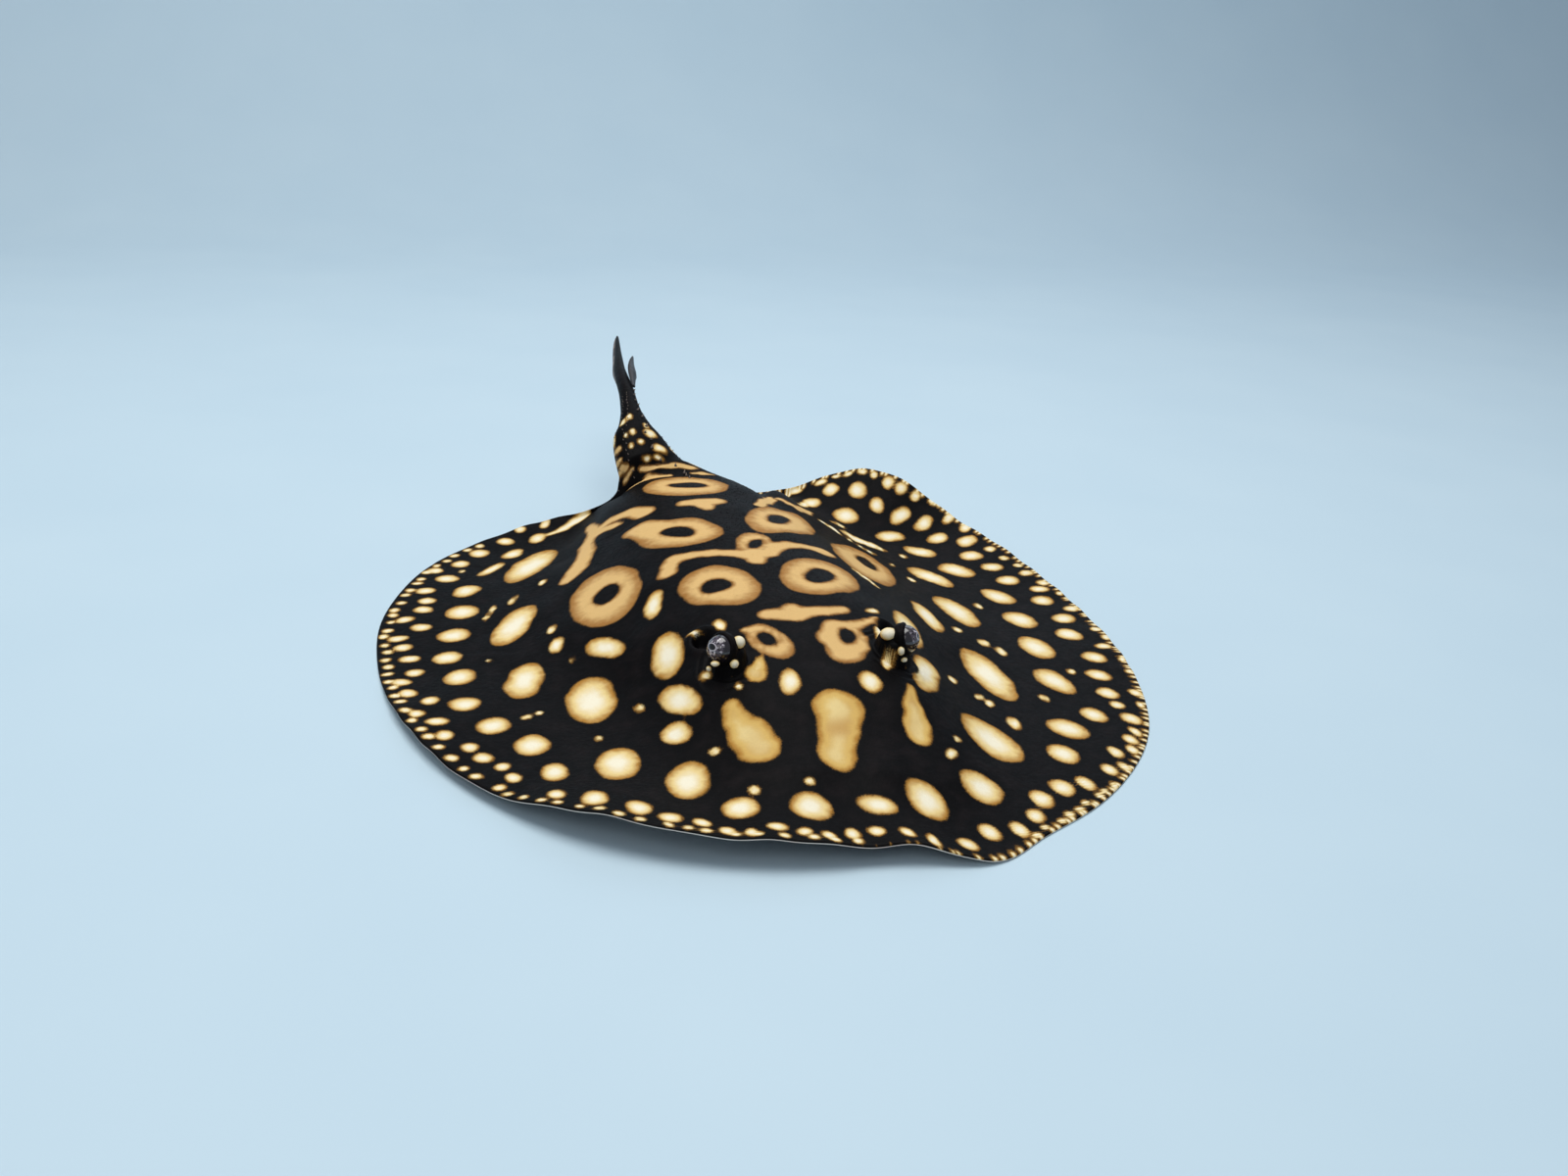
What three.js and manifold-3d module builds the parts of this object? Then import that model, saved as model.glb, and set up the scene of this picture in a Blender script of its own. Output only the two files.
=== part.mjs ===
// A freshwater stingray of the black kind with cream spots, life size, lying on its belly.
// Millimetres, +Z up. The snout points to -Y, the tail to +Y and the animal's left is +X.
// The origin is on the ground under the middle of the disc's widest line.
import * as THREE from 'three';
import { toCreasedNormals } from 'three/addons/utils/BufferGeometryUtils.js';
import Module from 'manifold-3d';

const wasm = await Module();
wasm.setup();

// ---------------------------------------------------------------- sizes
const GAP = 0.3; // clear cut between two neighbouring parts
const FLOOR = 0;

const DISC = {
  halfWidth: 225, // middle line to the side margin
  front: 270, // widest line to the snout
  rear: 216.5, // widest line to the rear lobes
  frontPower: 2.3, // squareness of the front outline
  rearPower: 2.5, // squareness of the rear outline
  rim: 1.6, // thickness of the margin
  finDepth: 14, // extra thickness of the fin toward the middle
  waveStart: 0.45, // the fin lies flat inside this share of the radius
};

// Where the soft outline swells or draws in: bearing from the snout in degrees (positive to
// the animal's left), share of the radius, and spread in degrees.
const BULGES = [
  { at: -115, gain: -0.02, spread: 14 },
  { at: 9, gain: 0.045, spread: 6 },
  { at: 35, gain: -0.015, spread: 14 },
  { at: 90, gain: 0.014, spread: 16 },
  { at: 130, gain: 0.02, spread: 14 },
  { at: 162, gain: -0.12, spread: 9 },
];

// Where the margin is held off the ground: bearing, height and spread.
const WAVES = [
  { at: -162, height: 12, spread: 17 },
  { at: -60, height: 6, spread: 16 },
  { at: -28, height: 16, spread: 13 },
  { at: -10, height: 11, spread: 9 },
  { at: 2, height: 7, spread: 5 },
  { at: 75, height: 4, spread: 16 },
  { at: 100, height: 6, spread: 14 },
  { at: 118, height: 13, spread: 13 },
  { at: 141, height: 44.5, spread: 14 },
  { at: 156, height: 17, spread: 11 },
];

// Height of the back along the middle line, and half width of the arched trunk, by y.
const BACK_HEIGHT = [
  [-270, 0], [-240, 8.5], [-190, 24], [-147, 38], [-110, 46], [-60, 52.5],
  [-10, 55], [50, 55], [100, 54], [150, 51], [190, 46.5], [220, 43],
];
const BACK_WIDTH = [
  [-270, 60], [-190, 66], [-147, 72], [-100, 78], [-50, 86],
  [10, 90], [70, 86], [130, 76], [190, 59], [220, 50],
];
// Steepness of the sides of head, middle and rear, and where one gives way to the next.
const FLANK = { head: 3.8, middle: 2.6, rear: 4.4, neck: [-110, -20], loin: [90, 190] };
const BELLY_HALF_WIDTH = 46; // the trunk rests on the ground this far out at the rear

// Middle line of the tail and its size, by y.
const TAIL = {
  start: 164,
  end: 490,
  side: [[160, 0], [185, -6], [208, -21.5], [232, -28], [256, -29.6], [286, -28],
    [330, -24.9], [375, -18.4], [420, -11.2], [455, -5.2], [490, 1]],
  rise: [[160, 27], [185, 32], [208, 45], [232, 62], [256, 78], [286, 87], [330, 91],
    [375, 93], [420, 93], [455, 91.5], [490, 88.5]],
  width: [[160, 94], [185, 73], [208, 56], [232, 41], [244, 25], [256, 16.5], [275, 12.8],
    [300, 12], [330, 10.2], [375, 6.4], [420, 4.4], [455, 3], [480, 2], [490, 0]],
  depth: [[160, 52], [185, 43], [208, 32], [232, 27], [244, 20], [256, 14.5], [275, 12.4],
    [300, 11.4], [330, 9.8], [375, 6.8], [420, 4.8], [455, 3.3], [480, 2], [490, 0]],
  twist: [[205, 0], [290, 48], [400, 55], [490, 55]], // degrees the back leans to the left
  keel: [[300, 0], [345, 2.2], [430, 2.4], [480, 1], [490, 0]], // skin fold under the tail
};

const GRID = {
  discRibs: 36,
  joinRibs: 9,
  tailRibs: 20,
  topColumns: 10,
  bottomColumns: 5,
  joinFrom: 150, // bearing at which the disc begins to turn into the tail
  joinTo: 172,
};

const CUT = {
  neck: -62, // head and trunk part here
  tailRoot: 203,
  tailMiddle: 262,
  tailTip: 375,
  coreFront: 192, // front reach of the head inside the disc
  coreHalfWidth: 86,
  coreRear: 50, // half width of the trunk at the tail root
};

const EYE = { x: 51.5, y: -127, z: 48.5, radius: 8.5 };
const ORBIT = { x: 46.5, y: -123.5, z: 43, size: [9.5, 12, 10.5] };
const SPIRACLE = { x: 53, y: -97, z: 44, size: [6, 9, 9], lean: 20 };
const MOUTH = { y: -171, size: [17, 3.2, 4] };
const NOSTRIL = { x: 13, y: -181, size: [5, 3, 2.6] };
const GILLS = { count: 5, first: -128, step: 14, outer: 58, inner: 46, length: 11, width: 1.3, depth: 1.6 };

const PELVIC = {
  root: [42, 172, 199], // x of the root and its y range
  outer: [90, 196],
  tip: [68, 228],
  inner: [49, 219],
  thickness: 2.8,
  bottom: 0.5,
  rise: 3,
};

const STING = {
  from: 284,
  to: 352,
  width: 9,
  depth: 5,
  root: 0.4, // size where it leaves the skin, as a share of the full size
  swell: 0.35, // share of the length over which it reaches the full size
  clear: 0.3,
  spread: 9.5, // how far the point stands off the tail
  teeth: 9,
  tooth: 0.7,
};
const THORNS = { from: 176, to: 278, count: 14, height: 3.4, radius: 2.0, sway: 2.2 };

// ---------------------------------------------------------------- small helpers
const rad = THREE.MathUtils.degToRad;
const clamp = THREE.MathUtils.clamp;
const mix = THREE.MathUtils.lerp;

function smooth(value, from, to) {
  return THREE.MathUtils.smoothstep(value, from, to);
}

// A smooth line through [position, value] stations that never overshoots them.
function curve(stations, at) {
  const last = stations.length - 1;
  const x = clamp(at, stations[0][0], stations[last][0]);
  let i = 0;
  while (i < last - 1 && x > stations[i + 1][0]) {
    i += 1;
  }
  const step = (k) => (stations[k + 1][1] - stations[k][1]) / (stations[k + 1][0] - stations[k][0]);
  const slope = (k) => {
    if (k === 0) return step(0);
    if (k === last) return step(last - 1);
    const product = step(k - 1) * step(k);
    return product > 0 ? (2 * product) / (step(k - 1) + step(k)) : 0;
  };
  const span = stations[i + 1][0] - stations[i][0];
  const t = (x - stations[i][0]) / span;
  const start = (1 + 2 * t) * (1 - t) ** 2 * stations[i][1] + t * (1 - t) ** 2 * span * slope(i);
  const end = t * t * (3 - 2 * t) * stations[i + 1][1] + t * t * (t - 1) * span * slope(i + 1);
  return start + end;
}

// How strongly something centred on one bearing is felt at another.
function nearness(bearing, at, spread) {
  const turn = ((bearing - at + 540) % 360) - 180;
  return Math.exp(-((turn / spread) ** 2));
}

// Collects welded points and triangles for a closed mesh.
class Shell {
  constructor() {
    this.points = [];
    this.faces = [];
    this.seen = new Map();
  }

  point(x, y, z) {
    const key = [x, y, z].map((value) => Math.round(value * 1e4)).join(' ');
    if (!this.seen.has(key)) {
      this.seen.set(key, this.points.length / 3);
      this.points.push(x, y, z);
    }
    return this.seen.get(key);
  }

  triangle(a, b, c) {
    if (a !== b && b !== c && c !== a) {
      this.faces.push(a, b, c);
    }
  }

  quad(a, b, c, d) {
    this.triangle(a, b, c);
    this.triangle(a, c, d);
  }

  solid() {
    const mesh = new wasm.Mesh({
      numProp: 3,
      vertProperties: new Float32Array(this.points),
      triVerts: new Uint32Array(this.faces),
    });
    return new wasm.Manifold(mesh);
  }
}

// A closed solid from a three.js geometry placed by a matrix.
function solidOf(geometry, matrix) {
  const placed = geometry.clone().applyMatrix4(matrix);
  const position = placed.attributes.position;
  const index = placed.index;
  const shell = new Shell();
  const at = (k) => shell.point(position.getX(k), position.getY(k), position.getZ(k));
  for (let k = 0; k < index.count; k += 3) {
    shell.triangle(at(index.getX(k)), at(index.getX(k + 1)), at(index.getX(k + 2)));
  }
  return shell.solid();
}

function place(x, y, z, turn = [0, 0, 0], size = [1, 1, 1]) {
  return new THREE.Matrix4().compose(
    new THREE.Vector3(x, y, z),
    new THREE.Quaternion().setFromEuler(new THREE.Euler(...turn.map(rad))),
    new THREE.Vector3(...size),
  );
}

function ball(x, y, z, size, turn = [0, 0, 0], rings = 14) {
  const unit = new THREE.SphereGeometry(1, rings + 4, rings);
  return solidOf(unit, place(x, y, z, turn, size));
}

function block(x0, x1, y0, y1, z0, z1) {
  const unit = new THREE.BoxGeometry(x1 - x0, y1 - y0, z1 - z0);
  return solidOf(unit, place((x0 + x1) / 2, (y0 + y1) / 2, (z0 + z1) / 2));
}

// An upright solid over a closed outline of [x, y] corners, counter-clockwise from above.
function prism(outline, z0, z1) {
  const flat = outline.map(([x, y]) => new THREE.Vector2(x, y));
  const shell = new Shell();
  THREE.ShapeUtils.triangulateShape(flat, []).forEach(([a, b, c]) => {
    const [p, q, r] = [a, b, c].map((k) => outline[k]);
    shell.triangle(shell.point(...p, z1), shell.point(...q, z1), shell.point(...r, z1));
    shell.triangle(shell.point(...r, z0), shell.point(...q, z0), shell.point(...p, z0));
  });
  outline.forEach((p, k) => {
    const q = outline[(k + 1) % outline.length];
    shell.quad(shell.point(...p, z0), shell.point(...q, z0), shell.point(...q, z1), shell.point(...p, z1));
  });
  return shell.solid();
}

// ---------------------------------------------------------------- form of the disc
function outlineRadius(bearing) {
  const across = Math.abs(Math.sin(rad(bearing)) / DISC.halfWidth);
  const along = Math.cos(rad(bearing));
  const length = along > 0 ? DISC.front : DISC.rear;
  const power = along > 0 ? DISC.frontPower : DISC.rearPower;
  return (across ** power + Math.abs(along / length) ** power) ** (-1 / power);
}

function marginRadius(bearing) {
  const swell = BULGES.reduce((sum, b) => sum + b.gain * nearness(bearing, b.at, b.spread), 1);
  return outlineRadius(bearing) * swell;
}

function marginLift(bearing) {
  return WAVES.reduce((sum, w) => sum + w.height * nearness(bearing, w.at, w.spread), 0);
}

// Bearing, share of the radius and wave height of a point of the disc.
function discPlace(x, y) {
  const bearing = THREE.MathUtils.radToDeg(Math.atan2(x, -y));
  const share = Math.hypot(x, y) / marginRadius(bearing);
  const reach = clamp((share - DISC.waveStart) / (1 - DISC.waveStart), 0, 1.1) ** 1.6;
  const overBelly = 1 - smooth(y, 60, 130) * (1 - smooth(Math.abs(x), BELLY_HALF_WIDTH, 66));
  const wave = marginLift(bearing) * reach * overBelly;
  return { bearing, share, wave: wave > 0.25 ? wave : 0 };
}

function bottomHeight(x, y) {
  return FLOOR + discPlace(x, y).wave;
}

function topHeight(x, y) {
  const { bearing, share, wave } = discPlace(x, y);
  const inward = clamp(1 - share, 0, 1);
  const fin = DISC.rim + DISC.finDepth * inward ** 1.1;
  const forward = mix(FLANK.head, FLANK.middle, smooth(y, ...FLANK.neck));
  const power = mix(forward, FLANK.rear, smooth(y, ...FLANK.loin));
  const arch = Math.exp(-0.9 * (Math.abs(x) / curve(BACK_WIDTH, y)) ** power);
  const rearward = smooth(Math.abs(bearing), 140, 168);
  const fade = clamp(inward * mix(5, 16, rearward) + rearward * 0.15, 0, 1) ** 0.8;
  return FLOOR + fin + wave + Math.max(curve(BACK_HEIGHT, y) - fin, 0) * arch * fade;
}

// ---------------------------------------------------------------- form of the tail
function tailCentre(y) {
  return new THREE.Vector3(curve(TAIL.side, y), y, curve(TAIL.rise, y));
}

// Centre, leftward and dorsal directions of the tail, with its half sizes.
function tailFrame(y) {
  const centre = tailCentre(y);
  const forward = tailCentre(y + 1).sub(tailCentre(y - 1)).normalize();
  const left = new THREE.Vector3().crossVectors(forward, new THREE.Vector3(0, 0, 1)).normalize();
  const up = new THREE.Vector3().crossVectors(left, forward);
  const lean = rad(curve(TAIL.twist, y));
  const dorsal = up.clone().multiplyScalar(Math.cos(lean)).addScaledVector(left, Math.sin(lean));
  const side = left.multiplyScalar(Math.cos(lean)).addScaledVector(up, -Math.sin(lean));
  return {
    centre,
    forward,
    side,
    dorsal,
    halfWidth: curve(TAIL.width, y) / 2,
    halfDepth: curve(TAIL.depth, y) / 2,
    keel: curve(TAIL.keel, y),
  };
}

function tailPoint(y, hand, share, upper) {
  const frame = tailFrame(y);
  const angle = (share * Math.PI) / 2;
  const keel = upper ? 0 : frame.keel * Math.exp(-((share / 0.14) ** 2));
  const height = (frame.halfDepth * Math.cos(angle) + keel) * (upper ? 1 : -1);
  return frame.centre
    .clone()
    .addScaledVector(frame.side, hand * frame.halfWidth * Math.sin(angle))
    .addScaledVector(frame.dorsal, height);
}

// ---------------------------------------------------------------- the whole body
// Ribs run from the middle line to the margin, like the veins of a leaf.
function ribStations() {
  const spineY = (bearing) => {
    const slant = 1 - 0.5 * Math.sin(rad(bearing)) ** 2;
    return -Math.cos(rad(bearing)) * outlineRadius(bearing) * slant;
  };
  const stations = [];
  for (let i = 0; i <= GRID.discRibs; i += 1) {
    const bearing = (GRID.joinFrom * i) / GRID.discRibs;
    stations.push({ bearing, y: spineY(bearing), join: 0 });
  }
  for (let i = 1; i <= GRID.joinRibs; i += 1) {
    const t = i / GRID.joinRibs;
    const bearing = mix(GRID.joinFrom, GRID.joinTo, t);
    stations.push({ bearing, y: spineY(bearing), join: smooth(t, 0, 1) });
  }
  const tailFrom = stations[stations.length - 1].y;
  for (let i = 1; i <= GRID.tailRibs; i += 1) {
    const t = i / GRID.tailRibs;
    stations.push({ bearing: 180, y: mix(tailFrom, TAIL.end, t), join: 1 });
  }
  return stations;
}

function bodyPoint(station, hand, share, upper) {
  const onTail = station.join > 0 ? tailPoint(station.y, hand, share, upper) : null;
  if (station.join === 1) {
    return onTail;
  }
  const bearing = hand * station.bearing;
  const radius = marginRadius(bearing);
  const x = Math.sin(rad(bearing)) * radius * share;
  const y = mix(station.y, -Math.cos(rad(bearing)) * radius, share);
  const z = upper ? topHeight(x, y) : bottomHeight(x, y);
  const onDisc = new THREE.Vector3(x, y, z);
  return onTail ? onDisc.lerp(onTail, station.join) : onDisc;
}

function wholeBody() {
  const stations = ribStations();
  const shell = new Shell();
  const at = (station, hand, share, upper) => {
    const p = bodyPoint(station, hand, share, upper);
    return shell.point(p.x, p.y, p.z);
  };
  const face = (flip, a, b, c, d) => (flip ? shell.quad(d, c, b, a) : shell.quad(a, b, c, d));
  for (const hand of [-1, 1]) {
    for (let i = 1; i < stations.length; i += 1) {
      const [near, far] = [stations[i - 1], stations[i]];
      for (const upper of [true, false]) {
        const columns = upper ? GRID.topColumns : GRID.bottomColumns;
        for (let j = 0; j < columns; j += 1) {
          const [inner, outer] = [j / columns, (j + 1) / columns];
          face((hand > 0) !== upper,
            at(near, hand, inner, upper), at(near, hand, outer, upper),
            at(far, hand, outer, upper), at(far, hand, inner, upper));
        }
      }
      face(hand < 0,
        at(near, hand, 1, false), at(far, hand, 1, false),
        at(far, hand, 1, true), at(near, hand, 1, true));
    }
  }
  return shell.solid();
}

// ---------------------------------------------------------------- how the body is divided
// Half width of the head and trunk inside the fins.
function coreHalfWidth(y) {
  if (y < 0) {
    return CUT.coreHalfWidth * Math.max(1 - (Math.abs(y) / CUT.coreFront) ** 2.4, 0) ** (1 / 2.4);
  }
  return mix(CUT.coreHalfWidth, CUT.coreRear, smooth(y, 0, CUT.tailRoot));
}

// Outline of head, trunk and tail seen from above, grown by some distance.
function coreOutline(grow) {
  const left = [];
  const steps = 22;
  for (let i = 1; i <= steps; i += 1) {
    const y = i < 11 ? -CUT.coreFront * Math.cos((i / 11) * (Math.PI / 2)) : ((i - 11) / 11) * CUT.tailRoot;
    left.push([coreHalfWidth(y) + grow, y]);
  }
  left.push([CUT.coreRear + grow, CUT.tailRoot + 22], [CUT.coreRear + 30 + grow, CUT.tailRoot + 34]);
  left.push([CUT.coreRear + 30 + grow, TAIL.end + 20]);
  const right = left.map(([x, y]) => [-x, y]).reverse();
  return [[0, -CUT.coreFront - grow], ...left, ...right];
}

function core(grow) {
  return prism(coreOutline(grow), FLOOR - 10, 140);
}

function between(y0, y1) {
  return block(-300, 300, y0 + GAP / 2, y1 - GAP / 2, FLOOR - 10, 140);
}

function coreLength(body, y0, y1) {
  return body.intersect(core(-GAP / 2)).intersect(between(y0, y1));
}

// ---------------------------------------------------------------- parts of the head
function bothSides(make) {
  return make(-1).add(make(1));
}

function orbits() {
  return bothSides((hand) => ball(hand * ORBIT.x, ORBIT.y, ORBIT.z, ORBIT.size));
}

function eyeball(hand, grow = 0) {
  const radius = EYE.radius + grow;
  return ball(hand * EYE.x, EYE.y, EYE.z, [radius, radius, radius], [0, 0, 0], 10);
}

function spiracles() {
  return bothSides((hand) =>
    ball(hand * SPIRACLE.x, SPIRACLE.y, SPIRACLE.z, SPIRACLE.size, [0, 0, hand * -SPIRACLE.lean], 10));
}

function mouthAndNostrils() {
  const nostrils = bothSides((hand) =>
    ball(hand * NOSTRIL.x, NOSTRIL.y, FLOOR, NOSTRIL.size, [0, 0, hand * 30], 8));
  return ball(0, MOUTH.y, FLOOR, MOUTH.size, [0, 0, 0], 8).add(nostrils);
}

function gillSlits() {
  const slit = new THREE.BoxGeometry(GILLS.length, GILLS.width, 2 * GILLS.depth);
  let all = null;
  for (let i = 0; i < GILLS.count; i += 1) {
    const x = mix(GILLS.outer, GILLS.inner, i / (GILLS.count - 1));
    const y = GILLS.first + i * GILLS.step;
    const pair = bothSides((hand) => solidOf(slit, place(hand * x, y, FLOOR, [0, 0, hand * 16])));
    all = all ? all.add(pair) : pair;
  }
  return all;
}

function head(body) {
  return coreLength(body, -300, CUT.neck)
    .add(orbits().intersect(block(-100, 100, -200, CUT.neck - 1, 8, 100)))
    .subtract(bothSides((hand) => eyeball(hand, GAP)))
    .subtract(spiracles())
    .subtract(mouthAndNostrils())
    .subtract(gillSlits());
}

// ---------------------------------------------------------------- fins
function pectoralFin(body, hand) {
  const [inner, outer] = [(hand * GAP) / 2, hand * 300];
  const half = block(Math.min(inner, outer), Math.max(inner, outer), -300, 300, FLOOR - 10, 140);
  return body.subtract(core(GAP / 2)).intersect(half);
}

// A pelvic fin is a short rounded flap under the rear of the disc.
function pelvicOutline() {
  const [rootX, front, back] = PELVIC.root;
  const edge = new THREE.CatmullRomCurve3([
    new THREE.Vector3(rootX, front, 0),
    new THREE.Vector3(...PELVIC.outer, 0),
    new THREE.Vector3(...PELVIC.tip, 0),
    new THREE.Vector3(...PELVIC.inner, 0),
    new THREE.Vector3(rootX, back, 0),
  ]);
  return edge.getPoints(20);
}

function pelvicFin(body, hand) {
  const edge = pelvicOutline();
  const [rootX, front, back] = PELVIC.root;
  const centre = new THREE.Vector3(rootX, (front + back) / 2, 0);
  const rows = 4;
  const shell = new Shell();
  const at = (p, share, upper) => {
    const spot = centre.clone().lerp(p, share);
    const lift = PELVIC.bottom + PELVIC.rise * share ** 2;
    const depth = mix(PELVIC.thickness, 1, share ** 2);
    return shell.point(hand * spot.x, spot.y, lift + (upper ? depth : 0));
  };
  const face = (a, b, c, d) => (hand > 0 ? shell.quad(a, b, c, d) : shell.quad(d, c, b, a));
  for (let i = 1; i < edge.length; i += 1) {
    const [p, q] = [edge[i - 1], edge[i]];
    for (let j = 0; j < rows; j += 1) {
      const [s, t] = [j / rows, (j + 1) / rows];
      face(at(p, s, true), at(p, t, true), at(q, t, true), at(q, s, true));
      face(at(q, s, false), at(q, t, false), at(p, t, false), at(p, s, false));
    }
    face(at(p, 1, false), at(q, 1, false), at(q, 1, true), at(p, 1, true));
  }
  for (const [end, flip] of [[edge[0], false], [edge[edge.length - 1], true]]) {
    for (let j = 0; j < rows; j += 1) {
      const [s, t] = [j / rows, (j + 1) / rows];
      const corners = [at(end, s, false), at(end, t, false), at(end, t, true), at(end, s, true)];
      face(...(flip ? corners.reverse() : corners));
    }
  }
  return shell.solid().subtract(core(GAP / 2)).subtract(body.add(body.translate([0, 0, -GAP])));
}

// ---------------------------------------------------------------- tail
// Thorns stand in a wandering row along the back of the tail.
function thorns(y0, y1) {
  const cone = new THREE.ConeGeometry(1, 1, 6, 1);
  let all = null;
  for (let i = 0; i < THORNS.count; i += 1) {
    const t = i / (THORNS.count - 1);
    const y = mix(THORNS.from, THORNS.to, t);
    const root = bodyPointOnBack(y);
    if (root.y < y0 + 3 || root.y > y1 - 4) continue;
    const frame = tailFrame(y);
    const sway = THORNS.sway * Math.sin(i * 2.4) * (1 - t * 0.6);
    const size = mix(1, 0.8, t);
    const axis = frame.dorsal.clone().addScaledVector(frame.forward, 0.5).normalize();
    const turn = new THREE.Quaternion().setFromUnitVectors(new THREE.Vector3(0, 1, 0), axis);
    root.addScaledVector(frame.side, sway).addScaledVector(axis, THORNS.height * size * 0.28);
    const matrix = new THREE.Matrix4().compose(root, turn,
      new THREE.Vector3(THORNS.radius * size, THORNS.height * size, THORNS.radius * size));
    const thorn = solidOf(cone, matrix);
    all = all ? all.add(thorn) : thorn;
  }
  return all;
}

// The middle line of the back where disc and tail run together.
function bodyPointOnBack(y) {
  const stations = ribStations();
  let i = 1;
  while (i < stations.length - 1 && stations[i].y < y) {
    i += 1;
  }
  const [near, far] = [stations[i - 1], stations[i]];
  const t = (y - near.y) / (far.y - near.y);
  return bodyPoint(near, 1, 0, true).lerp(bodyPoint(far, 1, 0, true), t);
}

function tailLength(body, y0, y1) {
  return coreLength(body, y0, y1).add(thorns(y0, y1));
}

// The sting is a flat tapering blade over the tail, toothed along both edges.
function sting() {
  const steps = 2 * STING.teeth + 6;
  const shell = new Shell();
  const ring = (i) => {
    const t = i / steps;
    const y = mix(STING.from, STING.to, t);
    const frame = tailFrame(y);
    const root = mix(STING.root, 1, Math.min(1, t / STING.swell));
    const taper = root * Math.min(1, 1.9 * (1 - t)) ** 0.7;
    const tooth = i > 5 && i < steps && i % 2 === 1 ? STING.tooth : 0;
    const half = (STING.width / 2) * taper + tooth;
    const depth = (STING.depth / 2) * taper;
    const height = frame.halfDepth + STING.clear + depth + STING.spread * t * t;
    const centre = frame.centre.clone().addScaledVector(frame.dorsal, height);
    const spread = [[1, 0], [0.45, 1], [-0.45, 1], [-1, 0], [-0.45, -1], [0.45, -1]];
    return spread.map(([u, v]) => {
      const p = centre.clone().addScaledVector(frame.side, u * half);
      p.addScaledVector(frame.dorsal, v * depth);
      return shell.point(p.x, p.y, p.z);
    });
  };
  const rings = Array.from({ length: steps + 1 }, (_, i) => ring(i));
  for (let i = 1; i < rings.length; i += 1) {
    for (let k = 0; k < 6; k += 1) {
      const n = (k + 1) % 6;
      shell.quad(rings[i - 1][k], rings[i][k], rings[i][n], rings[i - 1][n]);
    }
  }
  for (let k = 1; k < 5; k += 1) {
    shell.triangle(rings[0][0], rings[0][k], rings[0][k + 1]);
    shell.triangle(rings[steps][0], rings[steps][k + 1], rings[steps][k]);
  }
  return shell.solid();
}

// ---------------------------------------------------------------- assembly
const SKIN = { color: 0x1a1516, roughness: 0.45, metalness: 0 };
const SPOTTED = { color: 0x2a211e, roughness: 0.45, metalness: 0 };
const BONE = { color: 0x2b2630, roughness: 0.5, metalness: 0 };
const CORNEA = { color: 0x3a3438, roughness: 0.12, metalness: 0 };

function toMesh(name, solid, look) {
  const data = solid.getMesh();
  const geometry = new THREE.BufferGeometry();
  geometry.setAttribute('position', new THREE.BufferAttribute(Float32Array.from(data.vertProperties), 3));
  geometry.setIndex(new THREE.BufferAttribute(Uint32Array.from(data.triVerts), 1));
  const mesh = new THREE.Mesh(toCreasedNormals(geometry, rad(40)), new THREE.MeshStandardMaterial(look));
  mesh.name = name;
  return mesh;
}

const body = wholeBody();
const group = new THREE.Group();
group.name = 'freshwater_stingray';
group.add(
  toMesh('head', head(body), SPOTTED),
  toMesh('trunk', coreLength(body, CUT.neck, CUT.tailRoot), SPOTTED),
  toMesh('pectoral_fin_left', pectoralFin(body, 1), SKIN),
  toMesh('pectoral_fin_right', pectoralFin(body, -1), SKIN),
  toMesh('pelvic_fin_left', pelvicFin(body, 1), SKIN),
  toMesh('pelvic_fin_right', pelvicFin(body, -1), SKIN),
  toMesh('tail_base', tailLength(body, CUT.tailRoot, CUT.tailMiddle), SPOTTED),
  toMesh('tail_middle', tailLength(body, CUT.tailMiddle, CUT.tailTip), SKIN),
  toMesh('tail_tip', coreLength(body, CUT.tailTip, TAIL.end + 5), SKIN),
  toMesh('tail_sting', sting(), BONE),
  toMesh('eye_left', eyeball(1), CORNEA),
  toMesh('eye_right', eyeball(-1), CORNEA),
);

export default group;
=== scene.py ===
"""Looks of a life-size freshwater stingray, black with cream spots and tan rings on its back.

The body rests on its belly on a pale floor: the snout points to -Y, the tail to +Y and the
animal's left is +X. Sizes are in millimetres and are turned into the frame's metres by the
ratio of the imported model's width to the width that the form is drawn with.
"""

import logging
import math
from dataclasses import dataclass, field
from enum import Enum

import bmesh
import bpy
import numpy as np
from mathutils import Matrix, Vector


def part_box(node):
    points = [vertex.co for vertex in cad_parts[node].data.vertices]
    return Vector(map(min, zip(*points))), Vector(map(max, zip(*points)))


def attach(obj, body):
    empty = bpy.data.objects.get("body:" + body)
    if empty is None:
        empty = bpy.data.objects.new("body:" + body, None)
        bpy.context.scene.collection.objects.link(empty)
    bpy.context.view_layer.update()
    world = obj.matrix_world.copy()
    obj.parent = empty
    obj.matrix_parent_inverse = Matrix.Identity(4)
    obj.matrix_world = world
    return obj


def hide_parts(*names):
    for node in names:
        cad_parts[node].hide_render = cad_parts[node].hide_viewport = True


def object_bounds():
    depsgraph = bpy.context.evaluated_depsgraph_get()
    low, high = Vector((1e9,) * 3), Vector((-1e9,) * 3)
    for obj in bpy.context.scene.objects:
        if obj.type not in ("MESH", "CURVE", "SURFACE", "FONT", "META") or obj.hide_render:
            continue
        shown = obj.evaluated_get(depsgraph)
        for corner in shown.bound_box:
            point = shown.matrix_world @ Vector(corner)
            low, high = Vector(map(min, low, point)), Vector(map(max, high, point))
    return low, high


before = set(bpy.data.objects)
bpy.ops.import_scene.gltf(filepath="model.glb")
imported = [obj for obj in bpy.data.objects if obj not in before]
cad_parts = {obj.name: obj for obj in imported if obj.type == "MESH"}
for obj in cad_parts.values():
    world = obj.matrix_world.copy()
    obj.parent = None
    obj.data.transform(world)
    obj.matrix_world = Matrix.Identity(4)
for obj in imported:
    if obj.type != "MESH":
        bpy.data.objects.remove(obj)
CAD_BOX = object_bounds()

Array = np.ndarray
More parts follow.
